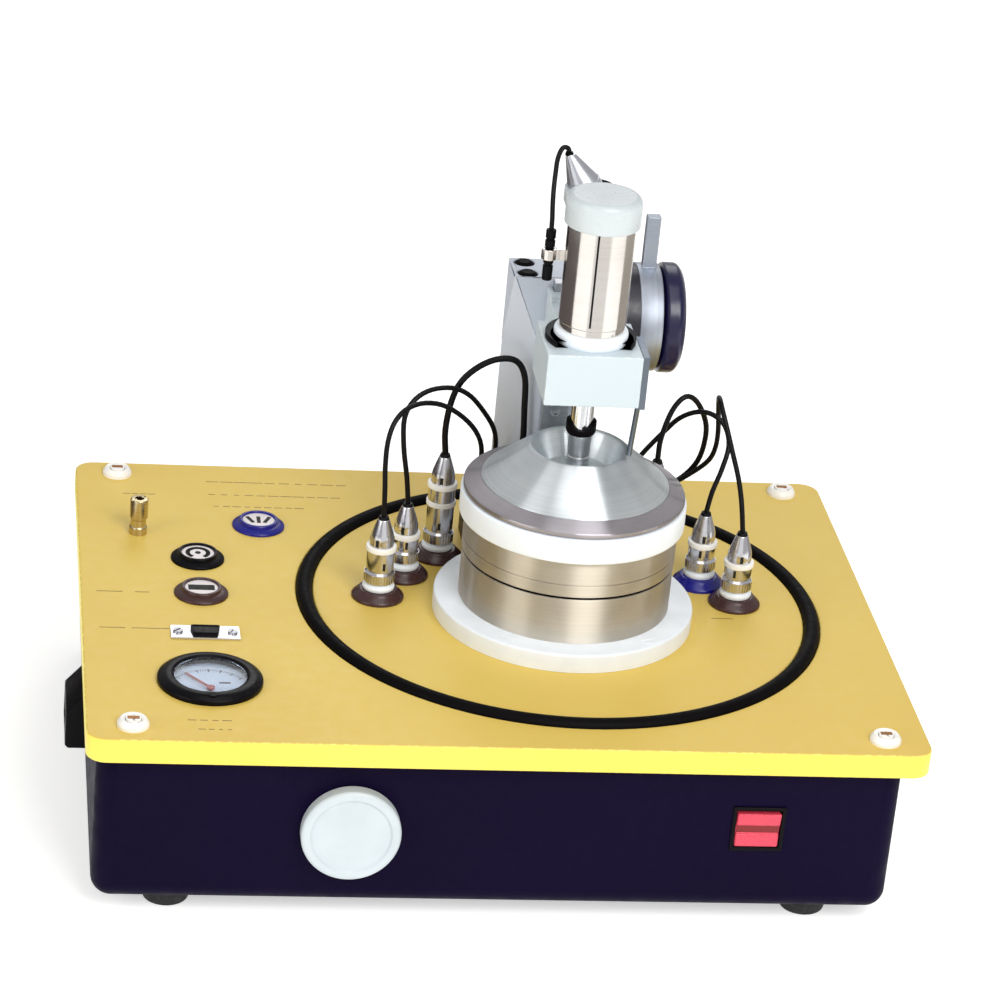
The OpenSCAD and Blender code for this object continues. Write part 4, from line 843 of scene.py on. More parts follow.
# %% Tree for a hoop, and the deck seal
hoop_tree, given, result = new_tree("hoop of round section", [
    ("Centre", "NodeSocketVector", None), ("Radius", "NodeSocketFloat", 0.1),
    ("Section", "NodeSocketFloat", 0.004), ("Material", "NodeSocketMaterial", None)])
big = geo(hoop_tree, "GeometryNodeCurvePrimitiveCircle", {"Radius": given.outputs["Radius"]},
          {"Resolution": 240})
small = geo(hoop_tree, "GeometryNodeCurvePrimitiveCircle", {"Radius": given.outputs["Section"]},
            {"Resolution": 28})
hoop = geo(hoop_tree, "GeometryNodeCurveToMesh",
           {"Curve": big.outputs[0], "Profile Curve": small.outputs[0]})
moved = geo(hoop_tree, "GeometryNodeTransform",
            {"Geometry": hoop.outputs[0], "Translation": given.outputs["Centre"]})
close_tree(hoop_tree, result, moved.outputs[0], given.outputs["Material"])

seal_low, seal_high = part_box("deck_seal")
section_radius = (seal_high.z - seal_low.z) / 2
deck_seal = grow("deck_seal_hoop", hoop_tree, {
    "Centre": seal_centre, "Radius": (seal_high.x - seal_low.x) / 2 - section_radius,
    "Section": section_radius, "Material": seal_rubber})
stands_for(deck_seal, "deck_seal")

# %% [markdown]
# ## Rings of the stack
# Two steel housings stand on a white flange and hold the spindle's bearings. A black ring seals
# the joint between them, and a white splash ring closes the top. Each is one turned profile with
# small breaks on its edges. The radii and heights are read from the frame.

# %% Housings and splash ring
def ring_size(node):
    """Outer radius, foot and top of a turned node about Z."""
    low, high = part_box(node)
    return (high.x - low.x) / 2, low.z, high.z


def turned_ring(node, material, outline, segments=192):
    """A turned piece round the lap's axis that stands for a node."""
    piece = lathe(node + "_turned", filleted(outline), (lap_axis.x, lap_axis.y, 0), material,
                  segments=segments)
    return stands_for(piece, node)


bearing_radius = ring_size("spindle_bearings")[0]
edge = 0.35 * MM
radius, foot, top = ring_size("base_flange")
turned_ring("base_flange", white_polymer, [
    (bearing_radius, foot), (radius, foot, edge), (radius, top, 1.2 * MM),
    (bearing_radius, top)])

radius, foot, top = ring_size("lower_housing")
turned_ring("lower_housing", housing_steel, [
    (bearing_radius, foot), (radius, foot, edge), (radius, top, edge), (bearing_radius, top)])

radius, foot, top = ring_size("upper_housing")
line_at = foot + 0.32 * (top - foot)
line_depth = 0.5 * MM
turned_ring("upper_housing", housing_steel, [
    (bearing_radius, foot), (radius, foot, edge), (radius, line_at),
    (radius - line_depth, line_at + 0.1 * MM), (radius - line_depth, line_at + 0.5 * MM),
    (radius, line_at + 0.6 * MM), (radius, top, edge), (bearing_radius, top)])

radius, foot, top = ring_size("housing_seal")
turned_ring("housing_seal", seal_rubber, [
    (bearing_radius + 4 * MM, foot), (radius, foot), (radius + 0.2 * MM, (foot + top) / 2),
    (radius, top), (bearing_radius + 4 * MM, top)])

radius, foot, top = ring_size("splash_ring")
hub_radius = bearing_radius - 1.5 * MM
turned_ring("splash_ring", white_polymer, [
    (hub_radius, foot), (radius - 0.2 * MM, foot, 0.5 * MM), (radius, foot + 1 * MM),
    (radius, top, 1.6 * MM), (hub_radius, top)])

# %% [markdown]
# ## The lap
# The lap is an aluminium cup: the outside is a shallow cone, polished across its turning marks,
# and stones are ground on the flat floor inside. It sits in a dark rim with a bevelled edge. A
# lathe profile is again the honest way, as it puts the marks and the highlights where a turned
# piece has them.

# %% Rim and cup
radius, foot, top = ring_size("lap_rim")
rim_foot = ring_size("splash_ring")[2] + 0.4 * MM
cup_radius, cup_foot, cup_top = ring_size("lap_cup")
nose_radius = 8 * MM
hub_radius = 18 * MM
turned_ring("lap_rim", rim_metal, [
    (nose_radius, foot), (hub_radius, foot), (hub_radius, rim_foot), (radius, rim_foot, 0.8 * MM),
    (radius, rim_foot + 2.2 * MM, 0.6 * MM), (cup_radius + 0.1 * MM, top),
    (cup_radius + 0.1 * MM, cup_foot), (nose_radius, cup_foot)])

mouth_radius = 22 * MM
floor_radius = 15 * MM
floor_height = cup_top - 11.8 * MM
turned_ring("lap_cup", cup_metal, [
    (0, cup_foot), (cup_radius, cup_foot), (cup_radius, top + 0.2 * MM, 0.5 * MM),
    (mouth_radius + 1 * MM, cup_top - 0.4 * MM, 2 * MM), (mouth_radius, cup_top, 0.5 * MM),
    (mouth_radius - 1.4 * MM, cup_top - 0.6 * MM, 0.8 * MM),
    (floor_radius, floor_height, 0.8 * MM), (0, floor_height)])
print("cup floor", round((cup_top - floor_height) / MM, 1), "mm below its mouth")

# %% [markdown]
# ## Feet, washers and screws
# Rubber feet are bolted under the case, and four corner screws on ivory cup washers hold the
# deck. Each is modelled once and stamped at its places by a tree that puts instances on points,
# so the four are exactly alike, as bought hardware is.

# %% Tree that stamps a model on points
stamp_tree, given, result = new_tree("stamp a model on points", [
    ("Places", "NodeSocketGeometry", None), ("Model", "NodeSocketObject", None),
    ("Turn Seed", "NodeSocketInt", 3), ("Material", "NodeSocketMaterial", None)])
model = geo(stamp_tree, "GeometryNodeObjectInfo", {"Object": given.outputs["Model"]})
turn = geo(stamp_tree, "FunctionNodeRandomValue", {"Seed": given.outputs["Turn Seed"]},
           {2: -0.5, 3: 1.2}, data_type="FLOAT")
around = geo(stamp_tree, "ShaderNodeCombineXYZ", {"Z": turn.outputs[1]})
stamps = geo(stamp_tree, "GeometryNodeInstanceOnPoints",
             {"Points": given.outputs["Places"],
              "Instance": next(s for s in model.outputs if s.type == "GEOMETRY"),
              "Rotation": around.outputs[0]})
close_tree(stamp_tree, result, stamps.outputs[0], given.outputs["Material"])


def stamped(name, model_piece, places, material, seed=3):
    """The model piece at every place; the model itself is used up."""
    host = bpy.data.meshes.new(name + "_places")
    host.from_pydata(places, [], [])
    made = grow(name, stamp_tree,
                {"Model": model_piece, "Turn Seed": seed, "Material": material}, host)
    bpy.data.objects.remove(model_piece)
    return made


def corners_of(node, inset):
    """Four places inset from the corners of a node's box."""
    low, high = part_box(node)
    return [Vector((x, y, low.z)) for x in (low.x + inset, high.x - inset)
            for y in (low.y + inset, high.y - inset)]


# %% Feet and washers
foot_low, foot_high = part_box("feet")
foot_height = foot_high.z - foot_low.z
foot_radius = 12 * MM
foot_bore = 4.6 * MM
foot_model = lathe("foot_model", filleted([
    (foot_bore, 0), (10 * MM, 0, 1 * MM), (foot_radius, foot_height * 0.7, 2 * MM),
    (11.6 * MM, foot_height), (foot_bore, foot_height)]), (0, 0, 0), foot_rubber, segments=48)
feet = stamped("rubber_feet", foot_model, corners_of("feet", foot_radius), foot_rubber)
stands_for(feet, "feet")

washer_low, washer_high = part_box("deck_washers")
washer_height = washer_high.z - washer_low.z
washer_radius = 7 * MM
washer_bore = 3.6 * MM
washer_model = lathe("washer_model", filleted([
    (washer_bore, 0), (washer_radius, 0), (washer_radius, washer_height * 0.4, 0.6 * MM),
    (5.4 * MM, washer_height, 0.7 * MM), (washer_bore, washer_height * 0.75)]),
    (0, 0, 0), ivory_plastic, segments=48)
washers = stamped("cup_washers", washer_model, corners_of("deck_washers", washer_radius),
                  ivory_plastic)
stands_for(washers, "deck_washers")

# %% [markdown]
# ## Screw heads
# Every screw head on the machine is a short cylinder with a slot across it. The tree cuts the
# slot once with a boolean and then stamps the head, each turned by chance from a fixed seed, as
# screws end up when they are tightened by hand.

# %% Tree for a slotted screw head
screw_tree, given, result = new_tree("slotted screw heads", [
    ("Places", "NodeSocketGeometry", None), ("Radius", "NodeSocketFloat", 0.0032),
    ("Height", "NodeSocketFloat", 0.0016), ("Seed", "NodeSocketInt", 5),
    ("Material", "NodeSocketMaterial", None)])
head = geo(screw_tree, "GeometryNodeMeshCylinder",
           {"Radius": given.outputs["Radius"], "Depth": given.outputs["Height"]},
           {"Vertices": 48})
slot = geo(screw_tree, "GeometryNodeMeshCube", {}, {"Size": (12 * MM, 1 * MM, 1 * MM)})
raised = geo(screw_tree, "ShaderNodeMath", {0: given.outputs["Height"]}, {1: 0.5},
             operation="MULTIPLY")
lift = geo(screw_tree, "ShaderNodeCombineXYZ", {"Z": raised.outputs[0]})
high_slot = geo(screw_tree, "GeometryNodeTransform",
                {"Geometry": slot.outputs[0], "Translation": lift.outputs[0]})
cut = geo(screw_tree, "GeometryNodeMeshBoolean", {0: head.outputs[0], 1: high_slot.outputs[0]})
turn = geo(screw_tree, "FunctionNodeRandomValue", {"Seed": given.outputs["Seed"]},
           {2: 0.0, 3: 3.1}, data_type="FLOAT")
around = geo(screw_tree, "ShaderNodeCombineXYZ", {"Z": turn.outputs[1]})
heads = geo(screw_tree, "GeometryNodeInstanceOnPoints",
            {"Points": given.outputs["Places"], "Instance": cut.outputs[0],
             "Rotation": around.outputs[0]})
close_tree(screw_tree, result, heads.outputs[0], given.outputs["Material"])


def screw_heads(name, places, radius, height, material, seed=5):
    host = bpy.data.meshes.new(name + "_places")
    host.from_pydata(places, [], [])
    return grow(name, screw_tree, {"Radius": radius, "Height": height, "Seed": seed,
                                   "Material": material}, host)


# %% [markdown]
# ## The deck's four screws
# The deck screws have an ivory cap with a bronze bar across it, over a bronze shank. Head, bar
# and shank are three simple bodies joined into one piece, which is quicker to get right than one
# body with three finishes.

# %% Deck screws
screw_low, screw_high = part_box("deck_screws")
screw_height = 1.6 * MM
deck_head_radius = 3.3 * MM
shank_radius = 1.8 * MM
bar_half = Vector((2.6, 1.3, 0.1)) * MM
screw_places = [Vector((p.x, p.y, screw_high.z - screw_height / 2))
                for p in corners_of("deck_washers", washer_radius)]
deck_screw_heads = screw_heads("deck_screw_heads", screw_places, deck_head_radius,
                               screw_height, ivory_plastic)
slot_floors = [block(f"slot_floor_{i}", -bar_half, bar_half, bronze_metal, 0.05 * MM)
               for i in range(len(screw_places))]
for piece, place in zip(slot_floors, screw_places):
    piece.data.transform(Matrix.Translation(place + Vector((0, 0, screw_height / 2))))
shank_model = lathe("shank_model", [(0, 0), (shank_radius, 0), (shank_radius, 1), (0, 1)],
                    (0, 0, 0), bronze_metal, segments=24)
shank_length = screw_high.z - screw_height - screw_low.z
shank_model.data.transform(Matrix.Diagonal((1, 1, shank_length, 1)))
shanks = stamped("screw_shanks", shank_model, [
    Vector((p.x, p.y, screw_low.z)) for p in screw_places], bronze_metal)
stands_for(join_as("deck_screws_turned", [deck_screw_heads, shanks] + slot_floors),
           "deck_screws")

# %% [markdown]
# ## Column plugs and spigot
# Two black oval plugs close the pin holes in the column's top. The spigot beside the sockets is
# a short polished tube with a cross slot, where the coolant hose pushes on.

# %% Column plugs and spigot
plug_low, plug_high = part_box("column_plugs")
plug_radius = (plug_high.x - plug_low.x) / 2
plug_height = plug_high.z - plug_low.z
plug_model = lathe("plug_model", filleted([
    (0, 0), (plug_radius, 0), (plug_radius, plug_height * 0.6, plug_height * 0.35),
    (plug_radius * 0.55, plug_height, 0.4 * MM), (0, plug_height * 0.86)]),
    (0, 0, 0), seal_rubber, segments=48)
plug_places = [Vector(((plug_low.x + plug_high.x) / 2, y, plug_low.z))
               for y in (plug_low.y + plug_radius, plug_high.y - plug_radius)]
stands_for(stamped("column_plugs_turned", plug_model, plug_places, seal_rubber),
           "column_plugs")

spigot_low, spigot_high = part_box("coolant_spigot")
spigot_length = spigot_high.z - deck_top
spigot_middle = middle("coolant_spigot")
spigot_radius = (spigot_high.x - spigot_low.x) / 2
spigot_bore = 2.2 * MM
slot_half = 0.5 * MM


def slotted_spigot(angle, radius, height):
    """A slot across the mouth, seen from the front."""
    in_slot = abs(math.sin(angle - 0.6)) * radius < slot_half
    return radius * 0.72 if in_slot and height > spigot_length * 0.55 else radius


spigot = lathe("spigot_turned", filleted([
    (spigot_bore, spigot_low.z - deck_top), (spigot_radius, spigot_low.z - deck_top),
    (spigot_radius, 3.6 * MM, 0.4 * MM), (spigot_radius * 0.86, 4.2 * MM),
    (spigot_radius * 0.86, 7.6 * MM), (spigot_radius, 8.2 * MM, 0.3 * MM),
    (spigot_radius, spigot_length * 0.56), (spigot_radius, spigot_length, 0.7 * MM),
    (spigot_bore, spigot_length), (spigot_bore, spigot_length * 0.56)]),
    (spigot_middle.x, spigot_middle.y, deck_top), spigot_metal, shape=slotted_spigot)
stands_for(spigot, "coolant_spigot")

# %% [markdown]
# ## Knobs on the head
# The rack is moved by a knob on a cross shaft. A black drum stands on the column, a silver
# clamp ring with a flat lever turns on it, and the black focus knob ends the row. All three are
# turned about one horizontal axis, so the lathe helper makes them, with a wide round on the
# knob's rim where the fingers hold it.

# %% Drum, clamp ring and focus knob
def axis_size(node):
    """Near end and far end of a node along X."""
    low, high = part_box(node)
    return low.x, high.x


knob_centre = (0, knob_axis.y, knob_axis.z)
near, far = axis_size("knob_drum")
drum_radius = (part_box("knob_drum")[1].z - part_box("knob_drum")[0].z) / 2
bore = 6 * MM
stands_for(lathe("knob_drum_turned", filleted([
    (bore, near), (drum_radius, near, 0.6 * MM), (drum_radius, near + 5 * MM, 0.3 * MM),
    (drum_radius - 0.7 * MM, near + 5.6 * MM), (drum_radius - 0.7 * MM, near + 6.6 * MM),
    (drum_radius, near + 7.2 * MM, 0.3 * MM), (drum_radius, far, 0.5 * MM), (bore, far)]),
    knob_centre, drum_black, "X"), "knob_drum")

near, far = axis_size("focus_knob")
near = max(near, axis_size("lock_ring")[1])
knob_radius = (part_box("focus_knob")[1].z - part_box("focus_knob")[0].z) / 2
knob_bore = 5 * MM
stands_for(lathe("focus_knob_turned", filleted([
    (knob_bore, near), (knob_radius * 0.9, near, 0.5 * MM),
    (knob_radius, near + 1.6 * MM, 0.8 * MM),
    (knob_radius, far - 2.4 * MM, 1.6 * MM), (knob_radius * 0.88, far, 1.2 * MM),
    (knob_radius * 0.72, far, 0.5 * MM), (knob_radius * 0.68, far - 0.8 * MM, 0.5 * MM),
    (0, far - 0.8 * MM)]), knob_centre, knob_black, "X", 192), "focus_knob")

# %% [markdown]
# ## Knurling, ribs and ticks
# Grip surfaces and dial marks are the same small body repeated round an axis. One tree does
# them all: a circle of points, a thin box on each turned to face outwards, and inputs for the
# count, the radius and the box's size. A share of the circle can be left out with two angles.

# %% Tree for marks round an axis
ring_tree, given, result = new_tree("marks round an axis", [
    ("Count", "NodeSocketInt", 24), ("From", "NodeSocketFloat", 0.0),
    ("To", "NodeSocketFloat", 6.2832), ("Radius", "NodeSocketFloat", 0.02),
    ("Mark", "NodeSocketVector", None), ("Lean", "NodeSocketFloat", 0.0),
    ("Material", "NodeSocketMaterial", None)])
dots = geo(ring_tree, "GeometryNodeMeshLine", {"Count": given.outputs["Count"]})
order = geo(ring_tree, "GeometryNodeInputIndex")
span = geo(ring_tree, "ShaderNodeMath", {0: given.outputs["To"], 1: given.outputs["From"]},
           operation="SUBTRACT")
share = geo(ring_tree, "ShaderNodeMath", {0: order.outputs[0], 1: given.outputs["Count"]},
            operation="DIVIDE")
angle = geo(ring_tree, "ShaderNodeMath",
            {0: share.outputs[0], 1: span.outputs[0], 2: given.outputs["From"]},
            operation="MULTIPLY_ADD")
cosine = geo(ring_tree, "ShaderNodeMath", {0: angle.outputs[0]}, operation="COSINE")
sine = geo(ring_tree, "ShaderNodeMath", {0: angle.outputs[0]}, operation="SINE")
unit = geo(ring_tree, "ShaderNodeCombineXYZ", {"X": cosine.outputs[0], "Y": sine.outputs[0]})
placed = geo(ring_tree, "ShaderNodeVectorMath",
             {0: unit.outputs[0], "Scale": given.outputs["Radius"]}, operation="SCALE")
laid = geo(ring_tree, "GeometryNodeSetPosition",
           {"Geometry": dots.outputs[0], "Position": placed.outputs[0]})
mark = geo(ring_tree, "GeometryNodeMeshCube", {"Size": given.outputs["Mark"]})
facing = geo(ring_tree, "ShaderNodeCombineXYZ",
             {"X": given.outputs["Lean"], "Z": angle.outputs[0]})
marks = geo(ring_tree, "GeometryNodeInstanceOnPoints",
            {"Points": laid.outputs[0], "Instance": mark.outputs[0],
             "Rotation": facing.outputs[0]})
close_tree(ring_tree, result, marks.outputs[0], given.outputs["Material"])


def marks_round(name, foot, count, radius, size, material, start=0, end=360, lean=0, turn=None):
    """Marks of size (radial, along, axial) in mm on a circle about Z through foot.

    turn is a matrix that lays the ring on another axis before it is moved to foot.
    """
    piece = grow(name, ring_tree, {
        "Count": count, "From": math.radians(start), "To": math.radians(end),
        "Radius": radius, "Mark": Vector(size) * MM, "Lean": math.radians(lean),
        "Material": material})
    if turn:
        piece.data.transform(turn)
    piece.data.transform(Matrix.Translation(foot))
    return piece

# %% [markdown]
# ## The clamp ring's lever
# The ring that locks the head ends in a flat lever that stands up beside the knob. Its tip is
# knurled so that a wet thumb can move it. The ring keeps the CAD solid's outline, and rows of
# small ribs from the tree make the knurling.

# %% Clamp ring with a knurled lever
ring_low, ring_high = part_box("lock_ring")
lock_ring = rounded("lock_ring", 0.4 * MM, [lock_metal])
lever_middle = Vector(((ring_low.x + ring_high.x) / 2, knob_axis.y, ring_high.z))
rib_rows = 9
first_rib = 1.5
rib_pitch = 1.4
tip_ribs = []
for row in range(rib_rows):
    height = ring_high.z - (first_rib + row * rib_pitch) * MM
    rib = marks_round(f"tip_rib_{row}", (lever_middle.x, knob_axis.y, height), 2, 2.5 * MM,
                      (0.5, 5.2, 0.7), lock_metal, 90, 450)
    tip_ribs.append(rib)
lock_ring = join_as("lock_ring_finished", [lock_ring] + tip_ribs)
stands_for(lock_ring, "lock_ring")

# %% [markdown]
# ## The motor head
# A grey block slides on the column's rail. A stainless can with the spindle's motor stands on it
# in a white collar, held by a black open ring, and a white moulded cap closes the can. The can
# has one narrow slot down its front. A cone on the cap's rear lobe lets the cable out.

# %% Block, collar, ring and cap
stands_for(rounded("head_block", 0.6 * MM, [head_paint], 3), "head_block")
stands_for(rounded("retaining_ring", 0.25 * MM, [black_plastic]), "retaining_ring")
stands_for(rounded("barrel_cap", 0.5 * MM, [cap_plastic], 3), "barrel_cap")
stands_for(rounded("drip_tube", 0.15 * MM, [drip_metal]), "drip_tube")

quill_bore = 6.2 * MM
radius, foot, top = ring_size("barrel_collar")
turned_ring("barrel_collar", white_polymer, [
    (quill_bore, foot), (radius - 0.6 * MM, foot, 0.3 * MM), (radius, foot + 1.6 * MM, 0.6 * MM),
    (radius, top - 1.4 * MM, 0.8 * MM), (radius - 1 * MM, top, 0.3 * MM), (quill_bore, top)])

# %% [markdown]
# ## The motor's can
# The can is a drawn stainless tube with one narrow slot and a rolled line near its foot. The slot
# is cut by the lathe helper: it moves the radius inwards in a thin wedge of angles, and the faces
# inside it take a dark finish, painted shade in the groove. A boolean would leave ragged shading
# on such a shiny round. A lug on the can's left holds the pigtail's plug.

# %% Barrel with its slot and lug
barrel_low, barrel_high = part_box("motor_barrel")
barrel_radius = barrel_high.x - lap_axis.x
slot_angle = math.radians(-103)
slot_half = 0.35 * MM
slot_foot = 5 * MM


def slotted_barrel(angle, radius, height):
    """One narrow groove down the front, short of both ends."""
    inside = barrel_low.z + slot_foot < height < barrel_high.z - 0.5 * MM
    away = abs(math.remainder(angle - slot_angle, 2 * math.pi)) * radius
    return radius - 0.8 * MM if inside and away < slot_half else radius


foot_line = barrel_low.z + 3.4 * MM
barrel = lathe("barrel_turned", filleted([
    (quill_bore, barrel_low.z), (barrel_radius - 0.5 * MM, barrel_low.z),
    (barrel_radius - 0.5 * MM, foot_line - 0.4 * MM), (barrel_radius, foot_line, 0.2 * MM),
    (barrel_radius, barrel_low.z + slot_foot),
    (barrel_radius, barrel_low.z + slot_foot + 0.2 * MM),
    (barrel_radius, barrel_high.z - 0.7 * MM), (barrel_radius, barrel_high.z - 0.4 * MM),
    (barrel_radius, barrel_high.z), (quill_bore, barrel_high.z)]),
    (lap_axis.x, lap_axis.y, 0), barrel_metal, segments=320, shape=slotted_barrel)
# The faces inside the slot take the dark finish: painted shade in the groove.
barrel.data.materials.append(painted_hole_shade)
for face in barrel.data.polygons:
    inwards = (face.center.xy - lap_axis.xy).length
    above = barrel_low.z + slot_foot < face.center.z < barrel_high.z - 0.2 * MM
    if above and barrel_radius - 2 * MM < inwards < barrel_radius - 0.1 * MM:
        face.material_index = 1
plug_low, plug_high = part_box("pigtail_plug")
plug_middle = middle("pigtail_plug")
lug_outer = (plug_high.x - plug_low.x) / 2 + 1.2 * MM
lug_low = plug_high.z - 14 * MM
lug_high = plug_high.z - 9 * MM
lug = lathe("lug_ring", filleted([
    (plug_high.x - plug_middle.x, lug_low), (lug_outer, lug_low, 0.3 * MM),
    (lug_outer, lug_high, 0.3 * MM), (plug_high.x - plug_middle.x, lug_high)]),
    (plug_middle.x, plug_middle.y, 0), barrel_metal, segments=48)
arm = block("lug_arm", (plug_high.x + 0.4 * MM, plug_middle.y - 2 * MM, lug_low),
            (lap_axis.x - 9 * MM, plug_middle.y + 2 * MM, lug_high), barrel_metal)
barrel = join_as("barrel_turned", [barrel, lug, arm])
stands_for(barrel, "motor_barrel")

# %% [markdown]
# ## Cable cone and plug
# The cone on the cap's rear lobe guides the pigtail out. A soft gasket under it and a ferrule at
# its tip hide the two joints. The plug below is a row of short rounded sections, so a loop writes
# its outline and the lathe helper turns it.

# %% Cable cone, its rubber foot and the pigtail's plug
gland = rounded("cable_gland", 0.25 * MM, [gland_metal])
gland_foot = Vector((lap_axis.x, lap_axis.y + 26.5 * MM, gland_low.z))
gasket = lathe("gland_gasket", filleted([
    (6.6 * MM, 0), (8.4 * MM, 0, 0.4 * MM), (8.4 * MM, 1.1 * MM, 0.4 * MM), (6.6 * MM, 1.1 * MM)]),
    gland_foot, seal_rubber, segments=72)
ferrule = lathe("gland_ferrule", [
    (1.3 * MM, -0.6 * MM), (1.9 * MM, -0.6 * MM), (1.7 * MM, 0.9 * MM), (1.3 * MM, 0.9 * MM)],
    gland_tip, seal_rubber, segments=32)
stands_for(join_as("cable_gland_finished", [gland, gasket, ferrule]), "cable_gland")

plug_radius = plug_high.x - plug_middle.x
segment_tops = [0, 7, 8, 15, 16, 19, 20, 24]
plug_outline = [(0, 0)]
for i in range(0, len(segment_tops), 2):
    low_z, high_z = segment_tops[i] * MM, segment_tops[i + 1] * MM
    plug_outline += [(plug_radius, low_z, 0.5 * MM), (plug_radius, high_z, 0.5 * MM),
                     (plug_radius - 0.7 * MM, high_z), (plug_radius - 0.7 * MM, high_z + 0.6 * MM)]
plug_outline = plug_outline[:-2] + [(0, plug_high.z - plug_low.z)]
pigtail_plug = lathe("pigtail_plug_turned", filleted(plug_outline),
                     (plug_middle.x, plug_middle.y, plug_low.z), black_plastic, segments=48)
stands_for(pigtail_plug, "pigtail_plug")

# %% [markdown]
# ## The shaft
# A plated shaft comes down out of the block. A rubber coupling grips a white cone on its end,
# and the dop that holds the stone hangs below and reaches into the cup.

# %% Quill, coupling and dop
quill_low, quill_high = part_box("quill")
quill_radius = 5.2 * MM
cone_wide = (quill_high.x - quill_low.x) / 2
cone_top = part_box("head_block")[0].z - 12 * MM
coupling_low, coupling_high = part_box("dop_coupling")
coupling_radius = (coupling_high.x - coupling_low.x) / 2
cone_tip = 2.2 * MM


def slotted_quill(angle, radius, height):
    """A flat-bottomed slot in the front of the shaft."""
    inside = cone_top + 2.4 * MM < height < cone_top + 10 * MM
    away = abs(math.remainder(angle + math.radians(84), 2 * math.pi)) * radius
    return radius - 1.2 * MM if inside and away < 0.9 * MM else radius


quill_outline = [(0, quill_low.z), (cone_tip, quill_low.z),
                 (cone_wide, cone_top - 1.4 * MM, 0.3 * MM),
                 (cone_wide, cone_top, 0.3 * MM), (quill_radius, cone_top),
                 (quill_radius, cone_top + 2.4 * MM), (quill_radius, cone_top + 2.6 * MM),
                 (quill_radius, cone_top + 9.8 * MM), (quill_radius, cone_top + 10 * MM),
                 (quill_radius, quill_high.z), (0, quill_high.z)]
quill = lathe("quill_turned", filleted(quill_outline), (lap_axis.x, lap_axis.y, 0), quill_metal,
              segments=160, shape=slotted_quill)
quill.data.materials.append(white_polymer)
for face in quill.data.polygons:
    if face.center.z < cone_top - 0.1 * MM:
        face.material_index = 1
stands_for(quill, "quill")

cone_rise = coupling_high.z - quill_low.z
cone_slope = (cone_wide - cone_tip) / (cone_top - 1.4 * MM - quill_low.z)
mouth = cone_tip + cone_slope * cone_rise
coupling = turned_ring("dop_coupling", seal_rubber, [
    (0, coupling_low.z), (coupling_radius - 0.9 * MM, coupling_low.z, 0.4 * MM),
    (coupling_radius, coupling_low.z + 1.4 * MM, 0.6 * MM),
    (coupling_radius, coupling_high.z, 0.3 * MM), (mouth + 0.05 * MM, coupling_high.z),
    (cone_tip + 0.05 * MM, quill_low.z - 0.02 * MM), (0, quill_low.z - 0.02 * MM)], 96)
notch_depth = 3.4 * MM
for vertex in coupling.data.vertices:
    if vertex.co.z > coupling_high.z - 0.5 * MM:
        to_front = math.atan2(vertex.co.y - lap_axis.y, vertex.co.x - lap_axis.x)
        share = max(0, math.cos(to_front + math.radians(100))) ** 2
        vertex.co.z -= notch_depth * share
radius, foot, top = ring_size("dop")
turned_ring("dop", quill_metal, [
    (0, foot), (radius - 0.8 * MM, foot, 0.2 * MM), (radius, foot + 0.8 * MM, 0.3 * MM),
    (radius, foot + 7 * MM), (radius - 0.4 * MM, foot + 7.4 * MM),
    (radius - 0.4 * MM, foot + 8.2 * MM), (radius, foot + 8.6 * MM), (radius, top), (0, top)], 96)

# %% [markdown]
# ## The meter
# A round panel meter shows the lap's speed. Its moulded bezel is black and glossy, and the pale
# dial lies under a thin window. Tick marks on the dial come from the ring tree; the dial
# carries no words.

# %% Places on the deck
def on_deck(x, y, z=0.0):
    """A place given in millimetres from the middle of the deck's top."""
    return Vector((deck_middle.x + x * MM, y * MM, deck_top + z * MM))


print("deck's middle:", [round(c / MM, 1) for c in on_deck(0, 0)], "mm")

# %% Meter bezel, dial and ticks
meter_middle = middle("meter_case")
meter_low, meter_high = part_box("meter_case")
meter_foot = (meter_middle.x, meter_middle.y, deck_top)
meter_radius = (meter_high.x - meter_low.x) / 2
meter_height = meter_high.z - deck_top
window_radius = (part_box("meter_lens")[1].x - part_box("meter_lens")[0].x) / 2
can_radius = 21 * MM
can_wall = 1.5 * MM
dial_radius = 20 * MM
dial_drop = 1.5 * MM
dial_foot = 3 * MM
tick_from = 38
tick_to = 142
bezel = lathe("meter_bezel", filleted([
    (window_radius, 0), (meter_radius, 0), (meter_radius, meter_height * 0.5, 0.8 * MM),
    (meter_radius - 3.2 * MM, meter_height, 1.5 * MM),
    (window_radius + 1 * MM, meter_height, 0.5 * MM),
    (window_radius, meter_height - 0.9 * MM, 0.2 * MM)]), meter_foot, bezel_black)
can = lathe("meter_can", [
    (can_radius - can_wall, meter_low.z - deck_top), (can_radius, meter_low.z - deck_top),
    (can_radius, 0), (can_radius - can_wall, 0)], meter_foot, black_plastic)
dial = lathe("meter_dial", [(0, -dial_foot), (dial_radius, -dial_foot), (dial_radius, -dial_drop),
                            (0, -dial_drop)], meter_foot, dial_white)
dial_top = deck_top - dial_drop + 0.02 * MM
pivot = Vector((meter_middle.x, meter_middle.y - 6 * MM, dial_top))
fine = marks_round("fine_ticks", pivot, 31, 17.6 * MM, (1.4, 0.24, 0.04), dial_ink,
                   tick_from, tick_to)
coarse = marks_round("coarse_ticks", pivot, 7, 17.2 * MM, (2.4, 0.5, 0.04), dial_ink, 38, 160)
boss = lathe("needle_boss", [(0, 0), (0.8 * MM, 0), (0.8 * MM, 0.8 * MM), (0, 0.8 * MM)],
             pivot, bezel_black, segments=24)
label = block("dial_label", pivot + Vector((4, 6, 0)) * MM, pivot + Vector((9, 7.4, 0.05)) * MM,
              dial_ink, 0.01 * MM)
zero_screw = lathe("zero_screw", filleted([
    (0, 0), (2 * MM, 0), (2 * MM, 0.5 * MM, 0.2 * MM), (0, 0.5 * MM)]),
    Vector((meter_middle.x, meter_middle.y - 19.6 * MM, meter_high.z - 0.4 * MM)),
    black_plastic, segments=32)
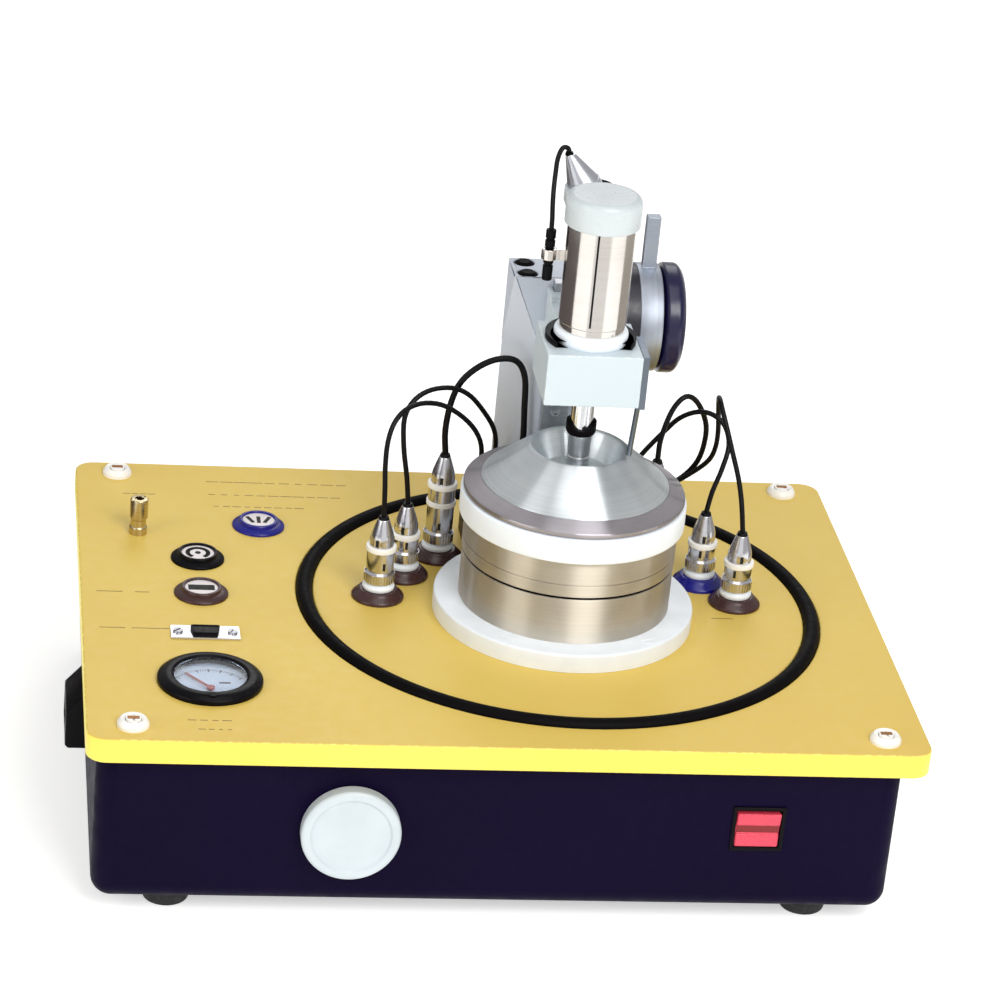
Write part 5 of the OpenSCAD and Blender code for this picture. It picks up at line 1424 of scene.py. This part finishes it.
stands_for(join_as("meter_turned", [bezel, can, dial, fine, coarse, boss, label, zero_screw]),
           "meter_case")

# %% Meter window
lens_low, lens_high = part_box("meter_lens")
lens = lathe("meter_window", filleted([
    (0, lens_low.z), (window_radius - 0.02 * MM, lens_low.z),
    (window_radius - 0.02 * MM, lens_high.z, 0.3 * MM), (0, lens_high.z)]),
    (meter_middle.x, meter_middle.y, 0), lens_glass)
stands_for(lens, "meter_lens")

# %% [markdown]
# ## Round sockets
# Three round sockets take the hand unit, the data lead and a control. Each has a domed base, a
# coloured or dark ring and a pale face that carries its own slots as flat dark marks of painted
# shade: a rectangle, a horseshoe round a pin, and three slots side by side.

# %% Round socket helpers
socket_height = 4.0


def round_socket(name, x, y, base, ring):
    """Base, ring and face of a socket; returns the pieces."""
    foot = on_deck(x, y)
    outer = 12.5 * MM
    dome = lathe(name + "_base", filleted([
        (0, -20 * MM), (9 * MM, -20 * MM), (9 * MM, 0), (outer, 0),
        (outer, 1 * MM, 0.6 * MM), (9.6 * MM, 2.6 * MM), (8.8 * MM, 2.6 * MM), (0, 2.6 * MM)]),
        foot, base)
    collar = lathe(name + "_ring", filleted([
        (8 * MM, 1.4 * MM), (9.6 * MM, 1.4 * MM), (9.3 * MM, socket_height * MM, 0.7 * MM),
        (7.8 * MM, socket_height * MM, 0.4 * MM), (7.6 * MM, 2.9 * MM)]), foot, ring)
    face = lathe(name + "_face", filleted([
        (0, 2 * MM), (7.9 * MM, 2 * MM), (7.7 * MM, 3.1 * MM, 0.2 * MM), (0, 3.1 * MM)]),
        foot, face_plastic)
    return [dome, collar, face]


def slot_shade_block(name, x, y, width, depth, top=3.2, turn=0.0):
    """A flat dark shape, painted shade that reads as a slot, turned about its own middle."""
    centre = on_deck(x, y, top)
    half = Vector((width / 2, depth / 2, 0)) * MM
    piece = block(name, -half - Vector((0, 0, 0.3)) * MM, half, painted_hole_shade, 0.02 * MM)
    piece.data.transform(Matrix.Translation(centre) @ Matrix.Rotation(math.radians(turn), 4, "Z"))
    return piece


print("socket helpers ready")

# %% Three round sockets
data_x, data_y = -130, 0
round_x, round_y = -130, 36
blue_x, blue_y = -99.4, 73
sockets = round_socket("data", data_x, data_y, brown_plastic, brown_plastic)
sockets += [slot_shade_block("data_slot", data_x, data_y, 12, 5, 3.25)]
sockets += round_socket("round", round_x, round_y, black_plastic, bezel_black)
# The horseshoe's ring of dark marks is painted shade for its slot; the centre pin takes the same
# dark finish.
sockets += [marks_round("horseshoe", on_deck(round_x, round_y, 3.15), 26, 4.8 * MM,
                        (2, 1.4, 0.2), painted_hole_shade, -50, 240),
            lathe("centre_pin", [(0, 0), (1.3 * MM, 0), (1.3 * MM, 0.3 * MM), (0, 0.3 * MM)],
                  on_deck(round_x, round_y, 3), painted_hole_shade, segments=32)]
sockets += round_socket("blue", blue_x, blue_y, blue_plastic, blue_plastic)
for i, (shift, turn) in enumerate([(-4, 24), (0, 0), (4, -24)]):
    sockets.append(slot_shade_block(f"blue_slot_{i}", blue_x + shift, blue_y + 0.4, 1.8, 7, 3.2, turn))
print("round socket pieces:", len(sockets))

# %% [markdown]
# ## Signal socket
# A D-shaped connector on a plated plate takes the signal lead. The plate is held by two small
# screws, and the shell round the pin block is a thin drawn wall with rounded corners.

# %% Signal socket's plate
signal_x, signal_y = -130, -40
plate_half_x = 15.5
plate_half_y = 6.25
plate = block("signal_plate", on_deck(signal_x - plate_half_x, signal_y - plate_half_y, 0),
              on_deck(signal_x + plate_half_x, signal_y + plate_half_y, 1), nickel, 0.3 * MM)
body = block("signal_body", on_deck(signal_x - 9, signal_y - 4.5, -10),
             on_deck(signal_x + 9, signal_y + 4.5, 0.2), black_plastic)
print("signal plate is", 2 * plate_half_x, "by", 2 * plate_half_y, "mm")


# %% D-shaped shell
def d_outline(half_width, half_depth, corner=1.6, lean=1.4):
    """Corners of a D shape: the front side is shorter than the back one, all rounded."""
    base = [(-half_width, half_depth), (half_width, half_depth),
            (half_width - lean, -half_depth), (-half_width + lean, -half_depth)]
    points = []
    for i, here in enumerate(base):
        before, after = Vector(base[i - 1]), Vector(base[(i + 1) % 4])
        here = Vector(here)
        start = here + (before - here).normalized() * corner
        end = here + (after - here).normalized() * corner
        for step in range(6):
            t = step / 5
            points.append(start * (1 - t) ** 2 + here * 2 * t * (1 - t) + end * t * t)
    return points


def d_shell(name, half_width, half_depth, wall, low, high, material):
    """A thin D-shaped wall, open inside; a wall of 0 gives a solid D."""
    bm = bmesh.new()
    outer = d_outline(half_width, half_depth)
    inner = d_outline(half_width - wall, half_depth - wall) if wall else []
    loops = [[bm.verts.new(on_deck(signal_x + p.x, signal_y + p.y, z)) for p in line]
             for line, z in ([(outer, low), (outer, high)]
                             + ([(inner, high), (inner, low)] if wall else []))]
    pairs = list(zip(loops, loops[1:])) + ([(loops[-1], loops[0])] if wall else [])
    for a, b in pairs:
        for i in range(len(a)):
            j = (i + 1) % len(a)
            bm.faces.new([a[i], a[j], b[j], b[i]])
    if not wall:
        bm.faces.new(loops[0])
        bm.faces.new(loops[1])
    bmesh.ops.recalc_face_normals(bm, faces=bm.faces)
    mesh = bpy.data.meshes.new(name)
    bm.to_mesh(mesh)
    bm.free()
    mesh.materials.append(material)
    smooth(mesh)
    return new_object(name, mesh)


# %% Join the sockets
shell = d_shell("signal_shell", 6.8, 3.9, 0.7, 0.9, 2.6, black_plastic)
# The pin block takes the dark finish, painted shade inside the shell.
pins = d_shell("signal_pins", 6.1, 3.2, 0, 0.9, 2.2, painted_hole_shade)
plate_screws = screw_heads("plate_screws", [
    on_deck(signal_x - 12.3, signal_y, 1.4), on_deck(signal_x + 12.3, signal_y, 1.4)],
    2.2 * MM, 0.9 * MM, screw_metal, 8)
sockets += [plate, body, shell, pins, plate_screws]
stands_for(join_as("sockets_finished", sockets), "panel_sockets")

# %% [markdown]
# ## Jacks and lead plugs
# Six measuring leads plug into round jacks round the seal. A plug is a plated barrel: a white
# flared skirt, a knurled nut, a plain sleeve, a white band and a bullet-shaped end that the
# lead leaves through. The plugs differ in length only, so one function turns them all.

# %% Jacks
jack_places = [Vector(route[0]) for route in lead_routes]
jack_height = 4.6
jacks = []
for i, place in enumerate(jack_places, 1):
    foot = Vector((lead_foot.x + place.x * MM, lead_foot.y + place.y * MM, deck_top))
    finish = blue_plastic if i == 4 else brown_plastic
    jacks.append(lathe(f"jack_{i}", filleted([
        (0, -14 * MM), (7 * MM, -14 * MM), (7 * MM, 0), (12.2 * MM, 0),
        (12.2 * MM, 1.2 * MM, 0.8 * MM), (9.8 * MM, 3.4 * MM, 1 * MM),
        (8.8 * MM, jack_height * MM, 0.6 * MM), (0, jack_height * MM)]), foot, finish))
stands_for(join_as("jacks_turned", jacks), "panel_jacks")

# %% [markdown]
# ## How a plug is put together
# Skirt, nut, sleeve, bands and boot are turned one by one from the jack upwards, and the ring tree
# adds the nut's grip and the small dark windows. Each plug is a piece of its own.

# %% Lead plugs
def lead_plug(i, place):
    """One plug, from the jack's top to where its lead starts."""
    foot = Vector((lead_foot.x + place.x * MM, lead_foot.y + place.y * MM,
                   deck_top + jack_height * MM))
    length = place.z - jack_height
    band_at = [length - 17] + ([length - 26] if length > 40 else [])
    skirt = lathe(f"plug_{i}_skirt", filleted([
        (0, 0), (7.2 * MM, 0, 0.4 * MM), (7.55 * MM, 1.6 * MM, 0.5 * MM),
        (6.4 * MM, 3.2 * MM, 0.4 * MM), (0, 3.2 * MM)]), foot, white_polymer, segments=72)
    nut = lathe(f"plug_{i}_nut", filleted([
        (0, 3.2 * MM), (6.4 * MM, 3.2 * MM), (6.8 * MM, 3.8 * MM), (6.8 * MM, 8.4 * MM),
        (6.2 * MM, 9 * MM), (5.8 * MM, 9.4 * MM), (5.8 * MM, 10.6 * MM), (0, 10.6 * MM)]),
        foot, nickel, segments=72)
    grip = marks_round(f"plug_{i}_grip", foot + Vector((0, 0, 6.1 * MM)), 30, 6.85 * MM,
                       (0.7, 0.7, 4.4), nickel)
    sleeve = lathe(f"plug_{i}_sleeve", filleted([
        (0, 10.2 * MM), (6.4 * MM, 10.2 * MM, 0.3 * MM), (6.4 * MM, (length - 17) * MM, 0.2 * MM),
        (5.6 * MM, (length - 14.6) * MM), (5.6 * MM, (length - 10) * MM, 2.4 * MM),
        (3.6 * MM, (length - 4) * MM, 1 * MM), (2.7 * MM, (length - 1.4) * MM, 0.3 * MM),
        (0, (length - 1.4) * MM)]), foot, nickel, segments=72)
    bands = [lathe(f"plug_{i}_band_{k}", filleted([
        (0, z * MM), (7 * MM, z * MM, 0.4 * MM), (7 * MM, (z + 2.5) * MM, 0.4 * MM),
        (0, (z + 2.5) * MM)]), foot, ivory_plastic, segments=72)
        for k, z in enumerate(band_at)]
    # The windows and keyways are thin dark marks on the sleeve: painted shade for its openings.
    window = marks_round(f"plug_{i}_slots", foot + Vector((0, 0, (length - 12.2) * MM)), 3,
                         5.62 * MM, (0.12, 1.5, 3.4), painted_hole_shade, -125 + 7 * i, 235 + 7 * i)
    keyway = marks_round(f"plug_{i}_keys", foot + Vector((0, 0, 13 * MM)), 3, 6.42 * MM,
                         (0.12, 1.3, 3.6), painted_hole_shade, -70 - 9 * i, 290 - 9 * i)
    boot = lathe(f"plug_{i}_boot", filleted([
        (0, (length - 1.6) * MM), (2.6 * MM, (length - 1.6) * MM, 0.2 * MM),
        (2.2 * MM, length * MM, 0.2 * MM), (0, length * MM)]), foot, lead_rubber, segments=48)
    return [skirt, nut, grip, sleeve, window, keyway, boot] + bands


for i, place in enumerate(jack_places, 1):
    stands_for(join_as(f"lead_plug_{i}", lead_plug(i, place)), "lead_plugs")

# %% [markdown]
# ## Speed knob and power switch
# On the case's front a large white knob sets the lap's speed and a red rocker switches the
# power. The knob is a flat disc with a slightly sunken face and a brighter rim. The rocker's
# two faces lean away from each other, and the recessed strip at the hinge between them takes a
# darker red.

# %% Speed knob
speed_low, speed_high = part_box("speed_knob")
speed_radius = (speed_high.x - speed_low.x) / 2
speed_middle = middle("speed_knob")
knob_depth = speed_high.y - speed_low.y
face_radius = 17.2 * MM
speed_knob = lathe("speed_knob_turned", filleted([
    (3 * MM, 0), (speed_radius, 0, 0.4 * MM), (speed_radius, knob_depth - 1 * MM, 1 * MM),
    (speed_radius - 1.4 * MM, knob_depth, 0.7 * MM), (face_radius + 0.8 * MM, knob_depth, 0.3 * MM),
    (face_radius, knob_depth - 1.2 * MM, 0.5 * MM), (0, knob_depth - 1.2 * MM),
    (0, 3 * MM), (3 * MM, 3 * MM)]), (0, 0, 0), knob_white, "Y", 192)
speed_knob.data.transform(Matrix.Translation((speed_middle.x, speed_high.y, speed_middle.z))
                          @ Matrix.Rotation(math.pi, 4, "Z"))
stands_for(speed_knob, "speed_knob")

# %% [markdown]
# ## The power switch
# The rocker's cross-section is the same along its width, so it is a list of points drawn twice
# and bridged, with its edges beveled. It is turned by its resting tilt about the hinge, and a pin
# through the hinge reaches into the frame on both sides.

# %% Rocker and its frame
stands_for(rounded("rocker_frame", 0.4 * MM, [black_plastic]), "rocker_frame")
rocker_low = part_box("power_rocker")[0]
rocker_tilt = math.radians(6)
pivot_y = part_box("case_shell")[0].y + 3 * MM
rocker_middle = Vector((middle("power_rocker").x, pivot_y, middle("rocker_frame").z))
half_w = 9.7 * MM
half_h = 8.8 * MM
crest = 3.4 * MM
dip = half_h * math.tan(rocker_tilt)
band_half = 2.2 * MM
profile = [(-crest - dip, -half_h), (-crest - 0.4 * dip, -band_half - 0.3 * MM),
           (-crest + 0.5 * MM, -band_half), (-crest + 0.5 * MM, band_half),
           (-crest - 0.4 * dip, band_half + 0.3 * MM), (-crest - dip, half_h),
           (0, half_h - 1 * MM), (3.4 * MM, 3 * MM), (3.4 * MM, -3 * MM), (0, -half_h + 1 * MM)]
bm = bmesh.new()
ends = [[bm.verts.new((x, y, z)) for y, z in profile] for x in (-half_w, half_w)]
for i in range(len(profile)):
    j = (i + 1) % len(profile)
    face = bm.faces.new([ends[0][i], ends[0][j], ends[1][j], ends[1][i]])
    # The recessed strip at the hinge takes the darker red.
    face.material_index = 1 if i == 2 else 0
bm.faces.new(ends[0])
bm.faces.new(ends[1])
bmesh.ops.recalc_face_normals(bm, faces=bm.faces)
rims = [e for e in bm.edges if e.calc_face_angle(0) > 0.6]
bmesh.ops.bevel(bm, geom=rims, offset=0.35 * MM, segments=3, affect="EDGES")
bm.transform(Matrix.Translation(rocker_middle) @ Matrix.Rotation(rocker_tilt, 4, "X"))
rocker_mesh = bpy.data.meshes.new("rocker")
bm.to_mesh(rocker_mesh)
bm.free()
rocker_mesh.materials.append(rocker_red)
rocker_mesh.materials.append(rocker_dark)
smooth(rocker_mesh)
rocker = new_object("rocker_moulded", rocker_mesh)
pin_half = 10.7 * MM
pin = lathe("rocker_pin", [(0, -pin_half), (1.2 * MM, -pin_half), (1.2 * MM, pin_half),
                           (0, pin_half)], rocker_middle, rocker_red, "X", 32)
rocker = join_as("rocker_moulded", [rocker, pin])
stands_for(rocker, "power_rocker")
print("rocker stands", round((pivot_y - rocker_low.y) / MM, 1), "mm before its hinge")

# %% [markdown]
# ## Terminal strips and screws
# The leads end in two black terminal strips behind the stack, each with three screw clamps. The
# machine screws that hold the flange, the column and the hatch have slotted cheese heads, which
# the screw tree makes on top of plain shanks.

# %% Terminal strips with their clamp screws
strip_pieces = [rounded("terminal_strips", 0.4 * MM, [black_plastic])]
port_ends = [line[-1] for line in lead_lines]
collars = stamped("port_collars", lathe("collar_model", filleted([
    (1.6 * MM, 0), (2.7 * MM, 0, 0.2 * MM), (2.3 * MM, 1.4 * MM, 0.3 * MM), (1.6 * MM, 1.4 * MM)]),
    (0, 0, 0), black_plastic, segments=40), port_ends, black_plastic)
clamp_places = [end + Vector((-3.6 * MM, 0, 0.1 * MM)) for end in port_ends]
clamps = screw_heads("clamp_screws", clamp_places, 1.1 * MM, 0.7 * MM, screw_metal, 12)
stands_for(join_as("terminal_strips_finished", strip_pieces + [collars, clamps]),
           "terminal_strips")

# %% [markdown]
# ## Machine screws
# Four screws hold the flange, two the column from below and four the hatch. The heads under the
# deck are stamped upside down and the whole set is turned over, because the screw tree always
# puts the slot on top.

# %% Machine screws
flange_radius, _, flange_top = ring_size("base_flange")
screw_circle = flange_radius - 5.5 * MM
head_radius = 3.6 * MM
head_height = 2.4 * MM
flange_places = []
for angle in (-125, -52, 35, 145):
    turn = math.radians(angle)
    flange_places.append(Vector((lap_axis.x + screw_circle * math.cos(turn),
                                 lap_axis.y + screw_circle * math.sin(turn),
                                 flange_top - head_height / 2)))
under_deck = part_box("deck_plate")[0].z
hatch_low, hatch_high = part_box("belt_hatch")
column_low, column_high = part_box("column")
column_places = [Vector((x, column_high.y - 9 * MM, under_deck - head_height / 2))
                 for x in (column_low.x + 9 * MM, column_high.x - 9 * MM)]
machine_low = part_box("machine_screws")[0].z
hatch_inset = 3.5 * MM
hatch_places = [Vector((x, y, machine_low + head_height / 2))
                for x in (hatch_low.x + hatch_inset, hatch_high.x - hatch_inset)
                for y in (hatch_low.y + hatch_inset, hatch_high.y - hatch_inset)]
flange_heads = screw_heads("flange_screw_heads", flange_places, head_radius, head_height,
                           white_polymer, 4)
flange_heads.data.transform(Matrix.Translation((0, 0, 0.15 * MM)))
upside_down = Matrix.Rotation(math.pi, 4, "X")
lower_heads = screw_heads("lower_screw_heads", [
    upside_down @ place for place in column_places + hatch_places], head_radius, head_height,
    screw_metal, 6)
lower_heads.data.transform(upside_down)
shaft_model = lathe("shaft_model", [(0, 0), (2 * MM, 0), (2 * MM, 10 * MM), (0, 10 * MM)],
                    (0, 0, 0), screw_metal, segments=24)
shaft_places = ([p - Vector((0, 0, 11 * MM)) for p in flange_places]
                + [p + Vector((0, 0, 1 * MM)) for p in column_places])
shafts = stamped("screw_shafts", shaft_model, shaft_places, screw_metal)
stands_for(join_as("machine_screws_turned", [flange_heads, lower_heads, shafts]),
           "machine_screws")

# %% [markdown]
# ## How the leads run
# The leads are springy measuring leads: they come out of their plugs, arch over and go back
# into the terminal strips. Their whole length shows, so nothing is coiled away.

# %% [markdown]
# ## Studio
# A pale floor, a pale world and large soft lights give even light with quiet shadows.

# %% Cards and lights
def card(name, at, size, look_at):
    """A flat square that faces a point."""
    mesh = bpy.data.meshes.new(name)
    half = size / 2
    mesh.from_pydata([(-half, -half, 0), (half, -half, 0), (half, half, 0), (-half, half, 0)],
                     [], [(0, 1, 2, 3)])
    piece = new_object(name, mesh)
    piece.location = at
    piece.rotation_euler = (Vector(look_at) - Vector(at)).to_track_quat("Z", "Y").to_euler()
    return piece


def soft_light(name, at, size, power, colour=(1, 1, 1)):
    lamp = bpy.data.lights.new(name, "AREA")
    lamp.shape = "SQUARE"
    lamp.size = size
    lamp.energy = power
    lamp.color = colour
    holder = bpy.data.objects.new(name, lamp)
    holder.location = at
    holder.rotation_euler = (Vector((0, 0, 0.15)) - Vector(at)).to_track_quat("-Z", "Y").to_euler()
    bpy.context.scene.collection.objects.link(holder)
    return holder


print("cards and lights ready")

# %% [markdown]
# ## Screens for the steel
# Polished steel shows what stands round it and nothing else, so a white studio alone leaves it
# flat. Dark and grey boards round such a piece draw its bands. The curved screens here do that.
# Only mirror-like rays see them, so they cast no shadow and never show themselves.

# %% Screens that only mirrors see
def lit_surface(name, shade):
    """A surface that gives off one even shade."""
    glow = bpy.data.materials.new(name)
    glow.use_nodes = True
    glow.node_tree.nodes.clear()
    source = add_node(glow, "ShaderNodeEmission", {"Color": (*shade, 1), "Strength": 1.0})
    end = add_node(glow, "ShaderNodeOutputMaterial")
    wire(glow, source.outputs[0], end.inputs["Surface"])
    return glow


def only_reflected(piece, shade):
    """Shows a piece of the studio in mirror-like surfaces only."""
    piece.data.materials.append(lit_surface(piece.name, shade))
    piece.visible_camera = False
    piece.visible_diffuse = False
    piece.visible_shadow = False
    piece.visible_transmission = False
    return piece


def screen(name, start, end, low, high, shade, distance=0.4):
    """A curved wall round the lap's axis; angles count from the camera's side, leftwards minus."""
    bm = bmesh.new()
    front = math.degrees(math.atan2(camera.location.y - lap_axis.y, camera.location.x - lap_axis.x))
    steps = 24
    rows = []
    for step in range(steps + 1):
        angle = math.radians(front + start + (end - start) * step / steps)
        x = lap_axis.x + distance * math.cos(angle)
        y = lap_axis.y + distance * math.sin(angle)
        rows.append([bm.verts.new((x, y, low)), bm.verts.new((x, y, high))])
    for a, b in zip(rows, rows[1:]):
        bm.faces.new([a[0], b[0], b[1], a[1]])
    mesh = bpy.data.meshes.new(name)
    bm.to_mesh(mesh)
    bm.free()
    return only_reflected(new_object(name, mesh), shade)


screen("dark_screen_left", -180, -70, 0.0, 0.165, (0.1, 0.085, 0.085))
screen("grey_screen_front", -16, 38, 0.0, 0.45, (0.93, 0.93, 0.92))
screen("grey_screen_right", 92, 150, 0.0, 0.17, (0.42, 0.39, 0.35))
only_reflected(card("bright_ceiling", (0.02, -0.32, 1.3), 0.8, (0.04, -0.01, 0.15)),
               (2.0, 2.0, 2.0))
print("screens round the lap's axis are up")

# %% [markdown]
# ## Floor, world and lamps
# The floor gives off a little light of its own, which lifts it to the white of a paper sweep. The
# key lamp is high at the front, a weaker fill stands on the left, and one behind lifts the edges.

# %% Floor, world and lamps
floor = card("floor", (0, 0, 0), 30, (0, 0, 1))
floor_paper = base_finish("floor_paper", (235, 235, 232), 0.9, Emission_Strength=0.52)
shader_of(floor_paper).inputs["Emission Color"].default_value = (1, 1, 1, 1)
grain(floor_paper, noise(floor_paper, place_of(floor_paper), 20.0), 0.85, 0.95)
floor.data.materials.append(floor_paper)
world = bpy.data.worlds.new("studio")
world.use_nodes = True
world.node_tree.nodes["Background"].inputs[0].default_value = (1, 1, 1, 1)
world.node_tree.nodes["Background"].inputs[1].default_value = 0.52
bpy.context.scene.world = world
soft_light("key", (0.5, -1.5, 1.4), 1.0, 24)
soft_light("fill", (-1.3, -0.8, 0.8), 0.8, 5)
soft_light("back", (0.2, 1.5, 1.3), 0.9, 5)
bpy.context.scene.view_settings.view_transform = "Standard"
